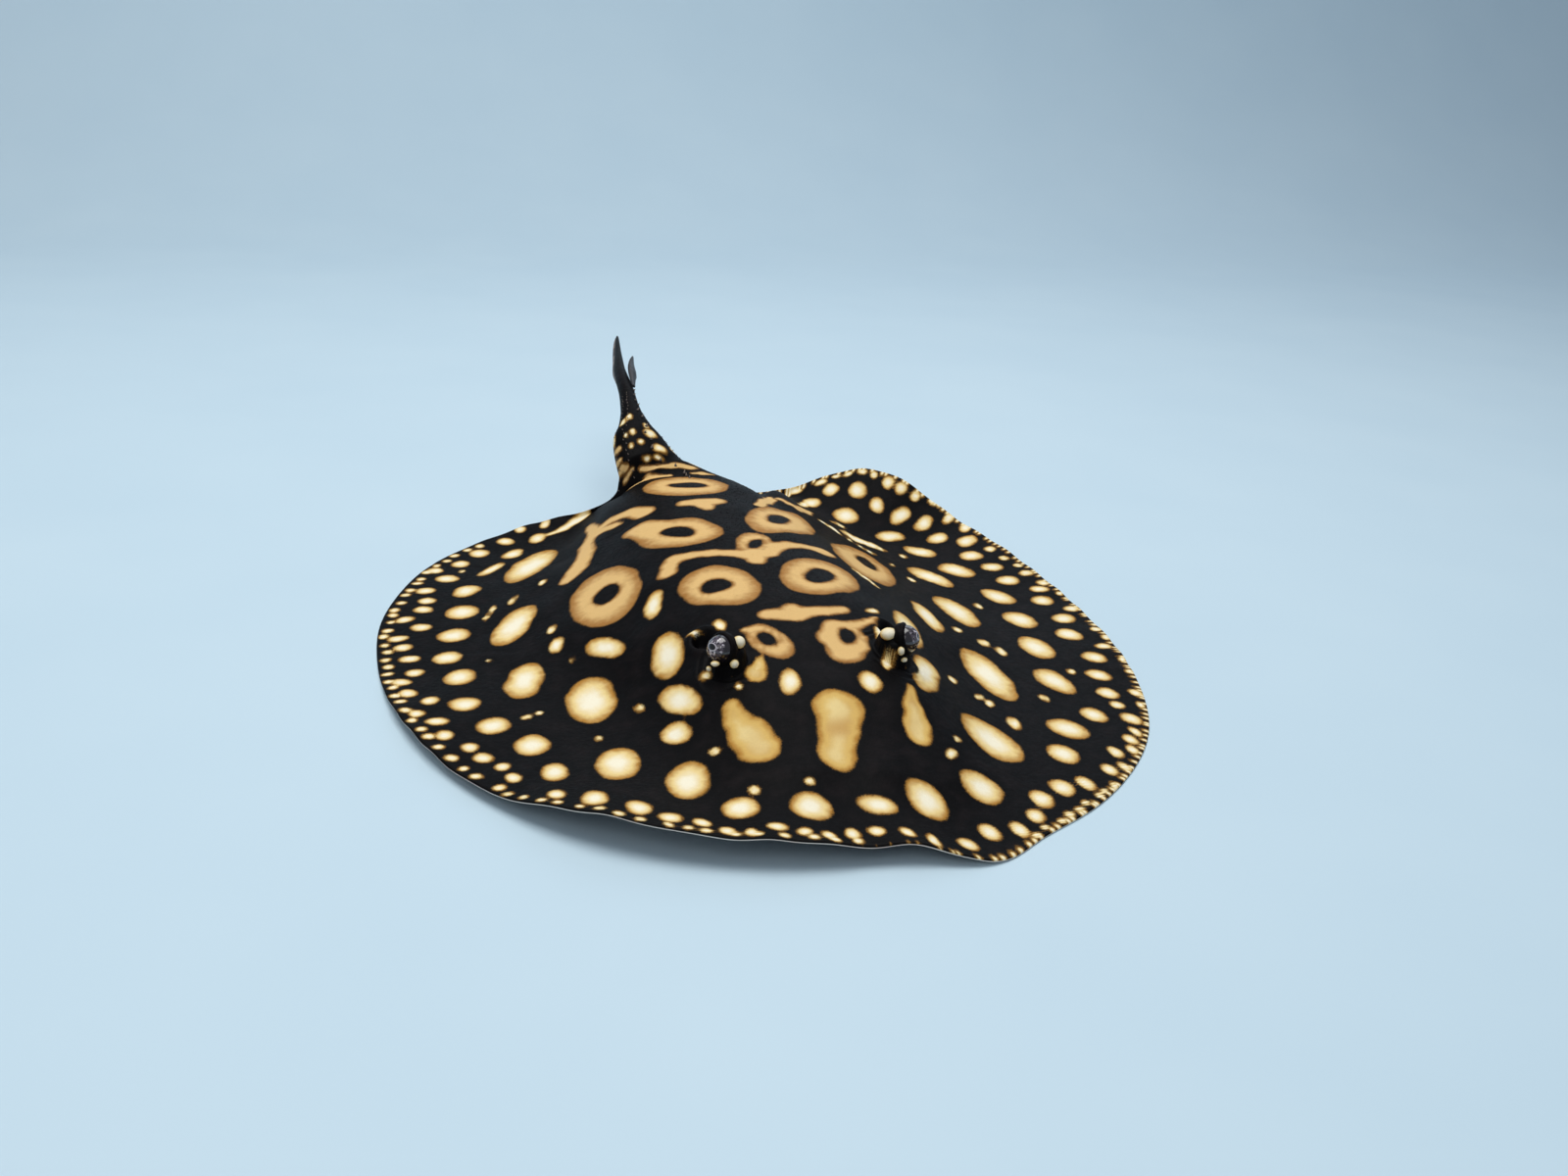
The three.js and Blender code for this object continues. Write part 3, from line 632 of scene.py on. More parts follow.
@dataclass(frozen=True)
class TailMarkings:
    """Markings of the tail by degrees round it, from the dorsal line to the animal's left."""

    spots: tuple = (  # degrees, station, width in degrees, length in millimetres
        (-50, 244, 28, 5), (-72, 241, 30, 5), (-34, 230, 16, 4), (-51, 228, 10, 3), (-22, 222, 14, 4),
        (-43, 221, 12, 4), (5, 229, 32, 8), (1, 236, 16, 5), (10, 216, 30, 8), (-22, 211, 14, 3),
        (-4, 210, 14, 3), (-97, 230, 26, 8), (54, 205, 26, 7), (52, 218, 22, 6), (58, 240, 22, 5),
        (60, 258, 18, 4),
    )
    bars: tuple = (  # degrees and station of both ends, radius
        ((-40, 207), (-15, 204), 2), ((-15, 204), (28, 201), 3), ((-74, 207), (-50, 209), 1),
        ((-104, 211), (-60, 211), 1.5), ((-106, 216), (-72, 215), 2), ((-106, 222), (-68, 222), 1.5),
        *(((66 + 5 * k, 197 + 12 * k), (120, 203 + 11 * k), 3 - 0.4 * k) for k in range(5)),
    )
    starts: float = 176.0

    def lay(self, coat: Coat, around: Array, along: Array, on_tail: Array) -> None:
        """Lays the tail's markings.

        Args:
            coat: Markings to add to.
            around: Degrees round the tail of each point of the coat.
            along: Station of each point along the tail.
            on_tail: Whether each point belongs to the tail.
        """
        where = np.flatnonzero(on_tail & (along > self.starts))
        turn, y = around[where], along[where]
        y = y + 0.5 * wobble(turn * 0.4, y, 9.0, 8)
        reach = math.radians(1.0) * (run(FORM.tail_width, y) + run(FORM.tail_depth, y)) / 4
        for at, place, wide, tall in self.spots:
            mm = np.abs(turn - at) * reach
            level = np.sqrt(((turn - at) / (wide / 2)) ** 2 + ((y - place) / (tall / 2)) ** 2)
            edge = np.where(mm < 40, (1 - level) * min(tall / 2, 6.0), FAR_OUTSIDE)
            coat.lay(where, edge, 1 - level, Tone.CREAM)
        for (at_a, y_a), (at_b, y_b), radius in self.bars:
            t = np.clip((turn - at_a) / (at_b - at_a), 0, 1)
            gap = np.hypot((turn - mix(at_a, at_b, t)) * reach, y - mix(y_a, y_b, t))
            edge = radius * (1 - 0.45 * np.abs(2 * t - 1) ** 3) - gap
            coat.lay(where, edge, edge / radius, Tone.TAN)


MARKINGS = Markings()
TAIL_MARKINGS = TailMarkings()


# ------------------------------------------------------------------ materials
class Nodes:
    """A node tree, with short calls to add nodes and link them."""

    def __init__(self, tree: bpy.types.NodeTree) -> None:
        """Takes the tree that the nodes go into."""
        self.tree = tree

    def node(self, kind: str, settings: dict | None = None, **inputs: object) -> bpy.types.Node:
        """Adds a node.

        Args:
            kind: Node type.
            settings: Properties of the node itself.
            inputs: Values or sockets for its inputs, by name with underscores for blanks.

        Returns:
            The node.
        """
        node = self.tree.nodes.new(kind)
        for name, value in (settings or {}).items():
            setattr(node, name, value)
        self.fill(node, **inputs)
        return node

    def fill(self, node: bpy.types.Node, **inputs: object) -> None:
        """Sets or links a node's inputs, by name with underscores for blanks."""
        for name, value in inputs.items():
            self.feed(node.inputs[name.replace("_", " ")], value)

    def feed(self, socket: bpy.types.NodeSocket, value: object) -> None:
        """Sets a socket, or links it where the value is a socket."""
        if isinstance(value, bpy.types.NodeSocket):
            self.tree.links.new(value, socket)
        else:
            socket.default_value = value

    def math(self, operation: str, *values: object) -> bpy.types.NodeSocket:
        """Returns the result of an arithmetic node."""
        node = self.node("ShaderNodeMath", {"operation": operation})
        for socket, value in zip(node.inputs, values):
            self.feed(socket, value)
        return node.outputs[0]

    def axes(self, vector: object) -> list[bpy.types.NodeSocket]:
        """Returns x, y and z of a vector."""
        return list(self.node("ShaderNodeSeparateXYZ", None, Vector=vector).outputs)


class Sheet(Nodes):
    """A material, with short calls for the nodes that the finishes use."""

    def __init__(self, name: str) -> None:
        """Makes an empty material with a surface shader.

        Args:
            name: Name of the material.
        """
        self.material = bpy.data.materials.new(name)
        self.material.use_nodes = True
        super().__init__(self.material.node_tree)
        self.surface = self.tree.nodes["Principled BSDF"]

    def show(self, **inputs: object) -> None:
        """Sets or links inputs of the surface, by name with underscores for blanks."""
        self.fill(self.surface, **inputs)

    def length(self, a: object, b: object) -> bpy.types.NodeSocket:
        """Returns the length of a line whose legs are a and b."""
        squares = (self.math("POWER", leg, 2.0) for leg in (a, b))
        return self.math("SQRT", self.math("ADD", *squares))

    def swing(self, value: object, gain: float) -> bpy.types.NodeSocket:
        """Returns a value of 0 to 1 as one that swings about 0, times a gain."""
        return self.math("MULTIPLY", self.math("SUBTRACT", value, 0.5), gain)

    def step(self, value: object, start: float, stop: float) -> bpy.types.NodeSocket:
        """Returns a soft step of a value from 0 at start to 1 at stop."""
        node = self.node("ShaderNodeMapRange", {"interpolation_type": "SMOOTHSTEP"})
        for name, setting in (("Value", value), ("From Min", start), ("From Max", stop)):
            self.feed(node.inputs[name], setting)
        return node.outputs[0]

    def blend(self, share: object, a: object, b: object) -> bpy.types.NodeSocket:
        """Returns a colour between a and b."""
        node = self.node("ShaderNodeMix", {"data_type": "RGBA"})
        for index, value in ((0, share), (6, a), (7, b)):
            self.feed(node.inputs[index], value)
        return node.outputs[2]

    def blend_number(self, share: object, a: float, b: float) -> bpy.types.NodeSocket:
        """Returns the number that lies the given share of the way from a to b."""
        return self.math("ADD", a, self.math("MULTIPLY", b - a, share))

    def scaled(self, colour: object, share: object) -> bpy.types.NodeSocket:
        """Returns a colour made darker or lighter."""
        node = self.node("ShaderNodeVectorMath", {"operation": "SCALE"})
        self.feed(node.inputs[0], colour)
        self.feed(node.inputs["Scale"], share)
        return node.outputs[0]

    def attribute(self, name: str) -> bpy.types.NodeSocket:
        """Returns a number stored on the mesh."""
        return self.node("ShaderNodeAttribute", {"attribute_name": name}).outputs["Fac"]

    def place(self) -> bpy.types.NodeSocket:
        """Returns the place on the object, in metres."""
        return self.node("ShaderNodeTexCoord").outputs["Object"]

    def noise(self, grain: float, detail: float) -> bpy.types.NodeSocket:
        """Returns noise from 0 to 1 with grains of some millimetres."""
        scale = 1.0 / (grain * UNIT)
        node = self.node("ShaderNodeTexNoise", None, Scale=scale, Detail=detail, Vector=self.place())
        return node.outputs[0]

    def bump(self, height: object, depth: float, under: object = None) -> bpy.types.NodeSocket:
        """Returns a bumped normal from a height, its depth in millimetres and any bump under it."""
        node = self.node("ShaderNodeBump", None, Distance=depth * UNIT, Height=height)
        if under is not None:
            self.feed(node.inputs["Normal"], under)
        return node.outputs[0]


def paint(red: int, green: int, blue: int) -> tuple[float, float, float, float]:
    """Returns a linear colour from screen values of 0 to 255."""
    linear = (
        v / 12.92 if v <= 0.04045 else ((v + 0.055) / 1.055) ** 2.4
        for v in (red / 255, green / 255, blue / 255)
    )
    return (*linear, 1.0)


@dataclass(frozen=True)
class SkinFinish:
    """Wet skin: black ground, cream spots with golden edges, tan rings, and a pale belly."""

    black: tuple = paint(8, 7, 8)
    brown: tuple = paint(22, 17, 18)
    cream: tuple = paint(255, 246, 220)
    sand: tuple = paint(242, 214, 146)
    golden: tuple = paint(182, 130, 56)
    straw: tuple = paint(226, 188, 108)
    wheat: tuple = paint(240, 214, 150)
    honey: tuple = paint(200, 154, 84)
    tan: tuple = paint(230, 190, 126)
    tan_edge: tuple = paint(168, 118, 60)
    belly: tuple = paint(230, 221, 210)
    blush: tuple = paint(220, 196, 184)
    dusk: tuple = paint(74, 62, 62)
    comb: float = 1.1  # depth in millimetres of the fringe along a marking's edge
    pebble: float = 1.1  # size in millimetres of the finest grain
    tick_pitch: float = 5.2  # spacing of the pale ticks along the very margin
    tick_radius: float = 1.45
    tick_depth: float = 1.2  # how far inward a tick keeps its full width
    tick_fade: float = 60.0  # the ticks fade out between this far left and this far right

    def ticks(self, sheet: Sheet) -> bpy.types.NodeSocket:
        """Returns the distance inside the margin's pale ticks, which the right side lacks."""
        arc, inset = sheet.attribute("arc"), sheet.attribute("inset")
        dots = sheet.node(
            "ShaderNodeTexVoronoi", {"voronoi_dimensions": "1D"}, Scale=1.0, Randomness=0.8,
            W=sheet.math("DIVIDE", arc, self.tick_pitch),
        )
        along = sheet.math("MULTIPLY", dots.outputs["Distance"], self.tick_pitch)
        beyond = sheet.math("MAXIMUM", sheet.math("SUBTRACT", inset, self.tick_depth), 0.0)
        gap = sheet.length(along, sheet.math("MULTIPLY", beyond, 0.5))
        fade = self.tick_fade * UNIT
        leftward = sheet.step(sheet.axes(sheet.place())[0], -fade, fade)
        reach = sheet.blend_number(leftward, -self.tick_radius, self.tick_radius)
        return sheet.math("SUBTRACT", reach, gap)

    def make(self) -> bpy.types.Material:
        """Returns the material."""
        sheet = Sheet("ray_skin")
        ragged = sheet.swing(sheet.noise(0.8, 3.0), 2 * self.comb)
        edge = sheet.attribute("edge")
        ticks = self.ticks(sheet)
        combed = sheet.math("ADD", sheet.math("MAXIMUM", edge, ticks), ragged)
        marked = sheet.step(combed, -1.1, 1.1)
        core = sheet.math("MAXIMUM", sheet.attribute("core"), sheet.math("MULTIPLY", ticks, 0.5))
        mottle = sheet.noise(5.0, 3.0)
        depth = sheet.math("ADD", core, sheet.swing(mottle, 0.3))
        sandy = sheet.blend(sheet.step(depth, 0.0, 0.36), self.golden, self.sand)
        cream = sheet.blend(sheet.step(depth, 0.25, 0.8), sandy, self.cream)
        pale = sheet.blend(sheet.step(depth, 0.0, 0.35), self.golden, self.straw)
        pale = sheet.blend(sheet.step(depth, 0.3, 0.8), pale, self.wheat)
        cloud = sheet.step(sheet.noise(28.0, 1.0), 0.4, 0.8)
        browned = sheet.math("MULTIPLY", sheet.step(depth, 0.1, 0.6), cloud)
        gold = sheet.blend(browned, pale, self.honey)
        tan = sheet.blend(sheet.step(depth, 0.0, 0.4), self.tan_edge, self.tan)
        tone = sheet.attribute("tone")
        colour = sheet.blend(sheet.step(tone, 0.1, 0.4), cream, gold)
        colour = sheet.blend(sheet.step(tone, 0.6, 0.9), colour, tan)
        far = sheet.step(sheet.math("MULTIPLY", edge, -1.0), 2.0, 8.0)
        cloudy = sheet.math("MULTIPLY", far, sheet.step(sheet.noise(9.0, 4.0), 0.3, 0.8))
        ground = sheet.blend(cloudy, self.black, self.brown)
        speck = sheet.math("ADD", 0.86, sheet.math("MULTIPLY", sheet.noise(0.5, 2.0), 0.28))
        upper = sheet.scaled(sheet.blend(marked, ground, colour), speck)
        under = self.underside(sheet, marked, colour)
        shown = sheet.blend(sheet.step(sheet.attribute("under"), 0.35, 0.65), upper, under)
        sheet.show(Base_Color=shown)
        self.surface(sheet, marked)
        return sheet.material

    def underside(self, sheet: Sheet, marked: object, colour: object) -> bpy.types.NodeSocket:
        """Returns the colour of the under side.

        Args:
            sheet: The material.
            marked: How strongly a marking shows at a point.
            colour: Colour of the markings.

        Returns:
            Pale in the middle, dusky toward the margin, and pale again at its very edge.
        """
        inset = sheet.attribute("inset")
        cloud = sheet.swing(sheet.noise(16.0, 3.0), 44.0)
        toward = sheet.step(sheet.math("ADD", inset, cloud), 16.0, 52.0)
        rim = sheet.blend(marked, self.dusk, colour)
        blush = sheet.step(sheet.noise(26.0, 4.0), 0.35, 0.75)
        veined = sheet.blend(blush, self.belly, self.blush)
        rim = sheet.blend(sheet.step(inset, 1.5, 5.0), veined, rim)
        return sheet.blend(toward, rim, veined)

    def surface(self, sheet: Sheet, marked: object) -> None:
        """Sets gloss and bump.

        Args:
            sheet: The material.
            marked: How strongly a marking shows at a point.
        """
        scale = 1.0 / (self.pebble * UNIT)
        pebble = sheet.node("ShaderNodeTexVoronoi", None, Scale=scale, Vector=sheet.place())
        fine = sheet.bump(pebble.outputs["Distance"], 0.05)
        fine = sheet.bump(sheet.noise(0.45, 2.0), 0.07, fine)
        fine = sheet.bump(sheet.noise(3.5, 3.0), 0.22, fine)
        fine = sheet.bump(marked, 0.05, fine)
        rough = sheet.math("ADD", 0.42, sheet.math("MULTIPLY", sheet.noise(2.2, 3.0), 0.22))
        sheet.show(Normal=fine, Roughness=rough, Specular_IOR_Level=0.05)


@dataclass(frozen=True)
class EyeFinish:
    """Silver-grey marbled iris, a black pupil under its fringe, and a wet surface."""

    name: str
    centre: tuple
    axis: tuple
    radius: float
    iris: tuple = paint(84, 74, 86)
    vein: tuple = paint(26, 20, 25)
    silver: tuple = paint(214, 206, 214)
    outer: tuple = paint(34, 28, 32)
    pupil: tuple = paint(5, 5, 7)
    pupil_half: tuple[float, float] = (0.34, 0.22)  # shares of the eye's radius
    iris_edge: tuple[float, float] = (0.74, 0.84)

    def make(self) -> bpy.types.Material:
        """Returns the material of one eye."""
        sheet = Sheet(self.name)
        size = self.radius * UNIT
        mapping = sheet.node(
            "ShaderNodeMapping", {"vector_type": "TEXTURE"}, Vector=sheet.place(),
            Location=[c * UNIT for c in self.centre], Scale=(size, size, size),
            Rotation=Vector(self.axis).to_track_quat("Z", "Y").to_euler(),
        )
        x, y, _ = sheet.axes(mapping.outputs[0])
        out = sheet.length(x, y)
        marble = sheet.noise(1.3, 5.0)
        iris = sheet.blend(sheet.step(marble, 0.36, 0.6), self.vein, self.iris)
        iris = sheet.blend(sheet.step(sheet.noise(1.6, 4.0), 0.54, 0.64), iris, self.silver)
        uneven = sheet.math("ADD", out, sheet.math("MULTIPLY", marble, 0.12))
        colour = sheet.blend(sheet.step(uneven, *self.iris_edge), iris, self.outer)
        hole = sheet.length(*(
            sheet.math("DIVIDE", leg, half) for leg, half in zip((x, y), self.pupil_half)))
        ring = sheet.blend(sheet.step(hole, 1.0, 1.35), self.silver, colour)
        colour = sheet.blend(sheet.step(hole, 0.86, 1.02), self.pupil, ring)
        sheet.show(
            Base_Color=colour, Roughness=0.16, Coat_Weight=0.8, Coat_Roughness=0.04,
            Normal=sheet.bump(marble, 0.08),
        )
        return sheet.material


@dataclass(frozen=True)
class HornFinish:
    """Hard tissue of sting and thorns, from a root colour to a tip colour."""

    name: str
    root: tuple
    tip: tuple
    grain: float
    roughness: float

    def make(self) -> bpy.types.Material:
        """Returns the material."""
        sheet = Sheet(self.name)
        streak = sheet.noise(self.grain, 4.0)
        height = sheet.math("ADD", sheet.attribute("height"), sheet.swing(streak, 0.5))
        sheet.show(
            Base_Color=sheet.blend(sheet.step(height, 0.1, 0.9), self.root, self.tip),
            Roughness=sheet.math("ADD", self.roughness, sheet.math("MULTIPLY", streak, 0.2)),
            Normal=sheet.bump(streak, 0.12), Coat_Weight=0.12,
        )
        return sheet.material


@dataclass(frozen=True)
class FloorFinish:
    """Plain pale blue-white ground."""

    colour: tuple = paint(204, 226, 238)
    shade: tuple = paint(196, 220, 234)

    def make(self) -> bpy.types.Material:
        """Returns the material."""
        sheet = Sheet("pale_floor")
        cloud = sheet.noise(180.0, 2.0)
        sheet.show(Base_Color=sheet.blend(cloud, self.colour, self.shade), Roughness=0.62)
        return sheet.material


# ------------------------------------------------------------------ meshes
def added(name: str, data: bpy.types.ID) -> bpy.types.Object:
    """Returns a new object of the scene with the data given."""
    thing = bpy.data.objects.new(name, data)
    bpy.context.scene.collection.objects.link(thing)
    return thing


def store(mesh: bpy.types.Mesh, name: str, values: Array) -> None:
    """Stores a number, or a row of three, on each point of a mesh."""
    kind, key = ("FLOAT_VECTOR", "vector") if np.ndim(values) == 2 else ("FLOAT", "value")
    layer = mesh.attributes.new(name, kind, "POINT")
    layer.data.foreach_set(key, np.asarray(values, np.float32).reshape(-1))


def read(mesh: bpy.types.Mesh, name: str) -> Array:
    """Returns the numbers stored on a mesh's points under a name."""
    values = np.empty(len(mesh.vertices), np.float32)
    mesh.attributes[name].data.foreach_get("value", values)
    return values


@dataclass
class Raw:
    """Points in millimetres and faces, with numbers stored for each point."""

    points: Array
    faces: list
    stored: dict = field(default_factory=dict)

    def join(self, other: "Raw") -> "Raw":
        """Returns both meshes as one, keeping the stored numbers of both."""
        shift = len(self.points)
        faces = self.faces + [[k + shift for k in face] for face in other.faces]
        names = sorted(set(self.stored) | set(other.stored))
        stored = {
            name: np.concatenate([
                self.stored.get(name, np.zeros(shift)),
                other.stored.get(name, np.zeros(len(other.points))),
            ])
            for name in names
        }
        return Raw(np.concatenate([self.points, other.points]), faces, stored)

    def build(self, name: str, material: bpy.types.Material) -> bpy.types.Object:
        """Makes the object, with its faces pointing out.

        Args:
            name: Name of the piece.
            material: Its finish.

        Returns:
            The object, in metres.
        """
        mesh = bpy.data.meshes.new(name)
        mesh.from_pydata((self.points * UNIT).tolist(), [], self.faces)
        for key, values in self.stored.items():
            store(mesh, key, values)
        work = bmesh.new()
        work.from_mesh(mesh)
        bmesh.ops.recalc_face_normals(work, faces=work.faces)
        work.to_mesh(mesh)
        work.free()
        mesh.polygons.foreach_set("use_smooth", np.ones(len(mesh.polygons), bool))
        mesh.materials.append(material)
        return added(name, mesh)


def tube_faces(rings: int, around: int, capped: bool = False) -> list:
    """Returns the quads between closed rings of points that follow each other.

    Args:
        rings: How many rings there are.
        around: How many points each ring has.
        capped: Whether the first and the last ring are closed by a face.

    Returns:
        The faces, as lists of points.
    """
    faces = []
    for i in range(rings - 1):
        for k in range(around):
            n = (k + 1) % around
            a, b = i * around, (i + 1) * around
            faces.append([a + k, a + n, b + n, b + k])
    if capped:
        faces += [[i * around + k for k in range(around)] for i in (0, rings - 1)]
    return faces


def settle(piece: bpy.types.Object, slot: str, *nodes: str) -> bpy.types.Object:
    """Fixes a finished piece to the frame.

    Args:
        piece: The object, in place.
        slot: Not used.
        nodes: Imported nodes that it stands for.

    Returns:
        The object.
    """
    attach(piece, BODY)
    if nodes:
        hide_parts(*nodes)
    triangles = sum(len(p.vertices) - 2 for p in piece.data.polygons)
    LOG.info("%s: %d triangles", piece.name, triangles)
    return piece


# ------------------------------------------------------------------ skin
@dataclass(frozen=True)
class Ribs:
    """Stations of the ribs that run from the middle line to the margin, snout to tail tip."""

    bearing: Array
    along: Array
    join: Array

    @staticmethod
    def laid(disc: int, join: int, tail: int) -> "Ribs":
        """Lays the ribs.

        Args:
            disc: Ribs over the disc.
            join: Ribs where the disc turns into the tail.
            tail: Ribs over the tail.

        Returns:
            The ribs.
        """
        bearing = crowded(disc, 0.0, 150.0, ((52.0, 0.7, 10.0), (66.0, 0.4, 12.0)))
        t = np.arange(1, join + 1) / join
        turning = mix(150.0, 172.0, t)
        disc_bearing = np.concatenate([bearing, turning])
        slant = 1 - 0.5 * np.sin(np.radians(disc_bearing)) ** 2
        spine = -np.cos(np.radians(disc_bearing)) * FORM.outline_radius(disc_bearing) * slant
        on_tail = crowded(tail, spine[-1], FORM.tail_end, ((215.0, 1.2, 50.0),))[1:]
        return Ribs(
            np.concatenate([disc_bearing, np.full(len(on_tail), 180.0)]),
            np.concatenate([spine, on_tail]),
            np.concatenate([np.zeros(len(bearing)), smooth(t, 0, 1), np.ones(len(on_tail))]),
        )

    def at(self, y: float) -> tuple[float, float, float]:
        """Returns bearing, station and join of the rib that leaves the middle line at y."""
        bearing = float(np.interp(y, self.along, self.bearing))
        return bearing, y, float(np.interp(y, self.along, self.join))


def body_points(
    bearing: Array, along: Array, join: Array, hand: Array, share: Array, upper: Array,
    rim_turn: Array,
) -> Array:
    """Returns points of the skin.

    Args:
        bearing: Bearing of the rib's outer end.
        along: Where the rib leaves the middle line.
        join: 0 on the disc to 1 on the tail.
        hand: 1 on the animal's left and -1 on its right.
        share: 0 on the middle line to 1 at the margin.
        upper: Whether the point is on the upper side.
        rim_turn: Degrees round the rounded margin, 90 above and -90 below.

    Returns:
        Rows of x, y and z, in millimetres.
    """
    turn = np.radians(bearing)
    half_rim = FORM.rim / 2
    radius = FORM.margin_radius(hand * bearing) - half_rim
    bulge = np.where(share >= 1.0, half_rim * np.cos(np.radians(rim_turn)), 0.0)
    outward = radius * share + bulge
    x = hand * np.sin(turn) * outward
    y = mix(along, -np.cos(turn) * radius, share) - np.cos(turn) * bulge
    level = np.where(upper, FORM.top_height(x, y), FORM.bottom_height(x, y))
    edge = FORM.bottom_height(x, y) + half_rim * (1 + np.sin(np.radians(rim_turn)))
    z = np.where(share >= 1.0, edge, level)
    on_disc = np.stack([x, y, z], -1)
    on_tail = FORM.tail_point(along, hand, share, upper)
    return mix(on_disc, on_tail, join[..., None])


@dataclass(frozen=True)
class HeadRelief:
    """Mounds, pits and folds of the head that stand out of the plain form."""

    orbit: tuple = (46.5, -123.5, 42.6)
    orbit_size: tuple = (9.4, 12.0, 10.4)
    spiracle: Spot = Spot(53.0, -97.0, 12.0, 18.0, 20.0)
    spiracle_depth: float = 7.0
    spiracle_rim: float = 1.6
    bare_shift: tuple[float, float] = (3.0, -1.5)  # unmarked skin round an orbit
    bare_radius: float = 12.5
    orbit_blend: float = 4.0
    fold_height: float = 0.4
    fold_outer: tuple[float, float] = (22.0, 15.0)  # the folds fade in between these reaches
    fold_inner: tuple[float, float] = (4.0, 8.0)
    dots: tuple = (  # low dots: side, turn outward from ahead, climb, reach, width, height
        (-1, 85, -40, 1.6, 8, 6), (-1, 20, -20, 1.05, 7, 4), (1, -30, -10, 1.0, 9, 8),
        (1, 25, -40, 1.1, 4, 4),
    )
    warts: tuple = (  # raised pale warts, by the same rule
        (-1, -45, 60, 1.1, 7, 7), (-1, 0, 5, 0.95, 5, 5), (-1, 50, 5, 1.4, 5, 3),
        (-1, 70, -15, 1.4, 3, 3), (1, -65, 60, 1.0, 10, 7), (1, 15, -15, 1.0, 4, 3),
        (1, 0, 15, 1.0, 4, 5),
    )
    dot_height: float = 0.8

    def top(self, x: Array, y: Array, z: Array) -> Array:
        """Returns the heights of the upper side with the head's mounds and pits."""
        across = np.abs(x)
        a, b, c = self.orbit_size
        level = 1 - ((across - self.orbit[0]) / a) ** 2 - ((y - self.orbit[1]) / b) ** 2
        dome = self.orbit[2] + c * np.sqrt(np.maximum(level, 0))
        raised = merge(z, np.where(level > 0, dome, FAR_OUTSIDE), self.orbit_blend)
        reach = np.hypot(across - self.orbit[0], (y - self.orbit[1]) / 1.25)
        folds = np.sin(reach * 1.5 + 1.6 * wobble(x, y, 12.0, 21))
        shown = smooth(reach, *self.fold_outer)
        raised += self.fold_height * folds * shown * smooth(reach, *self.fold_inner)
        near, _ = self.spiracle.measure(across, y)
        raised += self.spiracle_rim * np.exp(-((near + 2.5) / 2.6) ** 2)
        raised -= self.spiracle_depth * smooth(near, -0.8, 3.6)
        return raised

    def around_orbit(self, side: int, turn: float, climb: float, reach: float) -> Array:
        """Returns a place near an orbit: degrees outward from ahead, degrees up, share of its size."""
        out, up = math.radians(turn), math.radians(climb)
        level = math.cos(up)
        heading = np.array([math.sin(out) * level, -math.cos(out) * level, math.sin(up)])
        place = np.array(self.orbit) + np.array(self.orbit_size) * heading * reach
        return place * np.array([side, 1, 1])

    def depth_in_dots(self, points: Array) -> Array:
        """Returns the share of the way from rim (0) to middle (1) of the low dots."""
        depth = np.full(len(points), -30.0)
        for *place, wide, tall in self.dots:
            size = np.array([wide, max(wide, tall), tall]) / 2
            gap = np.linalg.norm((points - self.around_orbit(*place)) / size, axis=1)
            depth = np.maximum(depth, 1 - gap)
        return depth

    def lay_dots(self, coat: Coat, points: Array) -> None:
        """Lays the low dots round the eyes on points in space."""
        depth = self.depth_in_dots(points)
        coat.lay(np.arange(len(points)), depth * 2.6, np.clip(depth, 0, 1), Tone.CREAM)

    def wart(self, place: list, wide: float, tall: float) -> Raw:
        """Returns one raised wart, pale outside and dark where it meets the skin."""
        middle = self.around_orbit(*place)
        root = np.array([math.copysign(self.orbit[0], middle[0]), *self.orbit[1:]])
        outward = (middle - root) / np.linalg.norm(middle - root) + np.array([0.0, -0.9, 0.2])
        outward /= np.linalg.norm(outward)
        polar = np.radians(np.array([1.0, *np.linspace(14, 166, 10), 179.0]))[:, None]
        turn = np.linspace(0, math.tau, 20, endpoint=False)[None, :]
        ball = np.stack([np.sin(polar) * np.cos(turn), np.sin(polar) * np.sin(turn),
                         np.cos(polar) + 0 * turn], -1).reshape(-1, 3)
        facing = ball @ outward
        size = np.array([wide, (wide + tall) / 2, tall]) / 2
        faces = tube_faces(len(polar), turn.shape[1], capped=True)
        stored = {
            "edge": (facing + 0.1) * 3.0, "core": np.clip(facing * 0.8, 0, 1),
            "tone": np.full(len(ball), float(Tone.CREAM.value)), "inset": np.full(len(ball), 90.0),
            "arc": np.zeros(len(ball)), "under": np.zeros(len(ball)),
        }
        return Raw(middle + ball * size, faces, stored)

    def darkened(self, coat: Coat) -> None:
        """Takes the markings out of the spiracles and off the orbits."""
        across = np.abs(coat.x)
        near, _ = self.spiracle.measure(across, coat.y)
        coat.edge = np.minimum(coat.edge, -near - 0.3)
        outward = (across - self.orbit[0] - self.bare_shift[0]) / self.bare_radius
        rearward = (coat.y - self.orbit[1] - self.bare_shift[1]) / self.bare_radius
        reach = np.hypot(outward, rearward)
        coat.edge = np.where(reach < 1, np.minimum(coat.edge, (reach - 1) * 9), coat.edge)


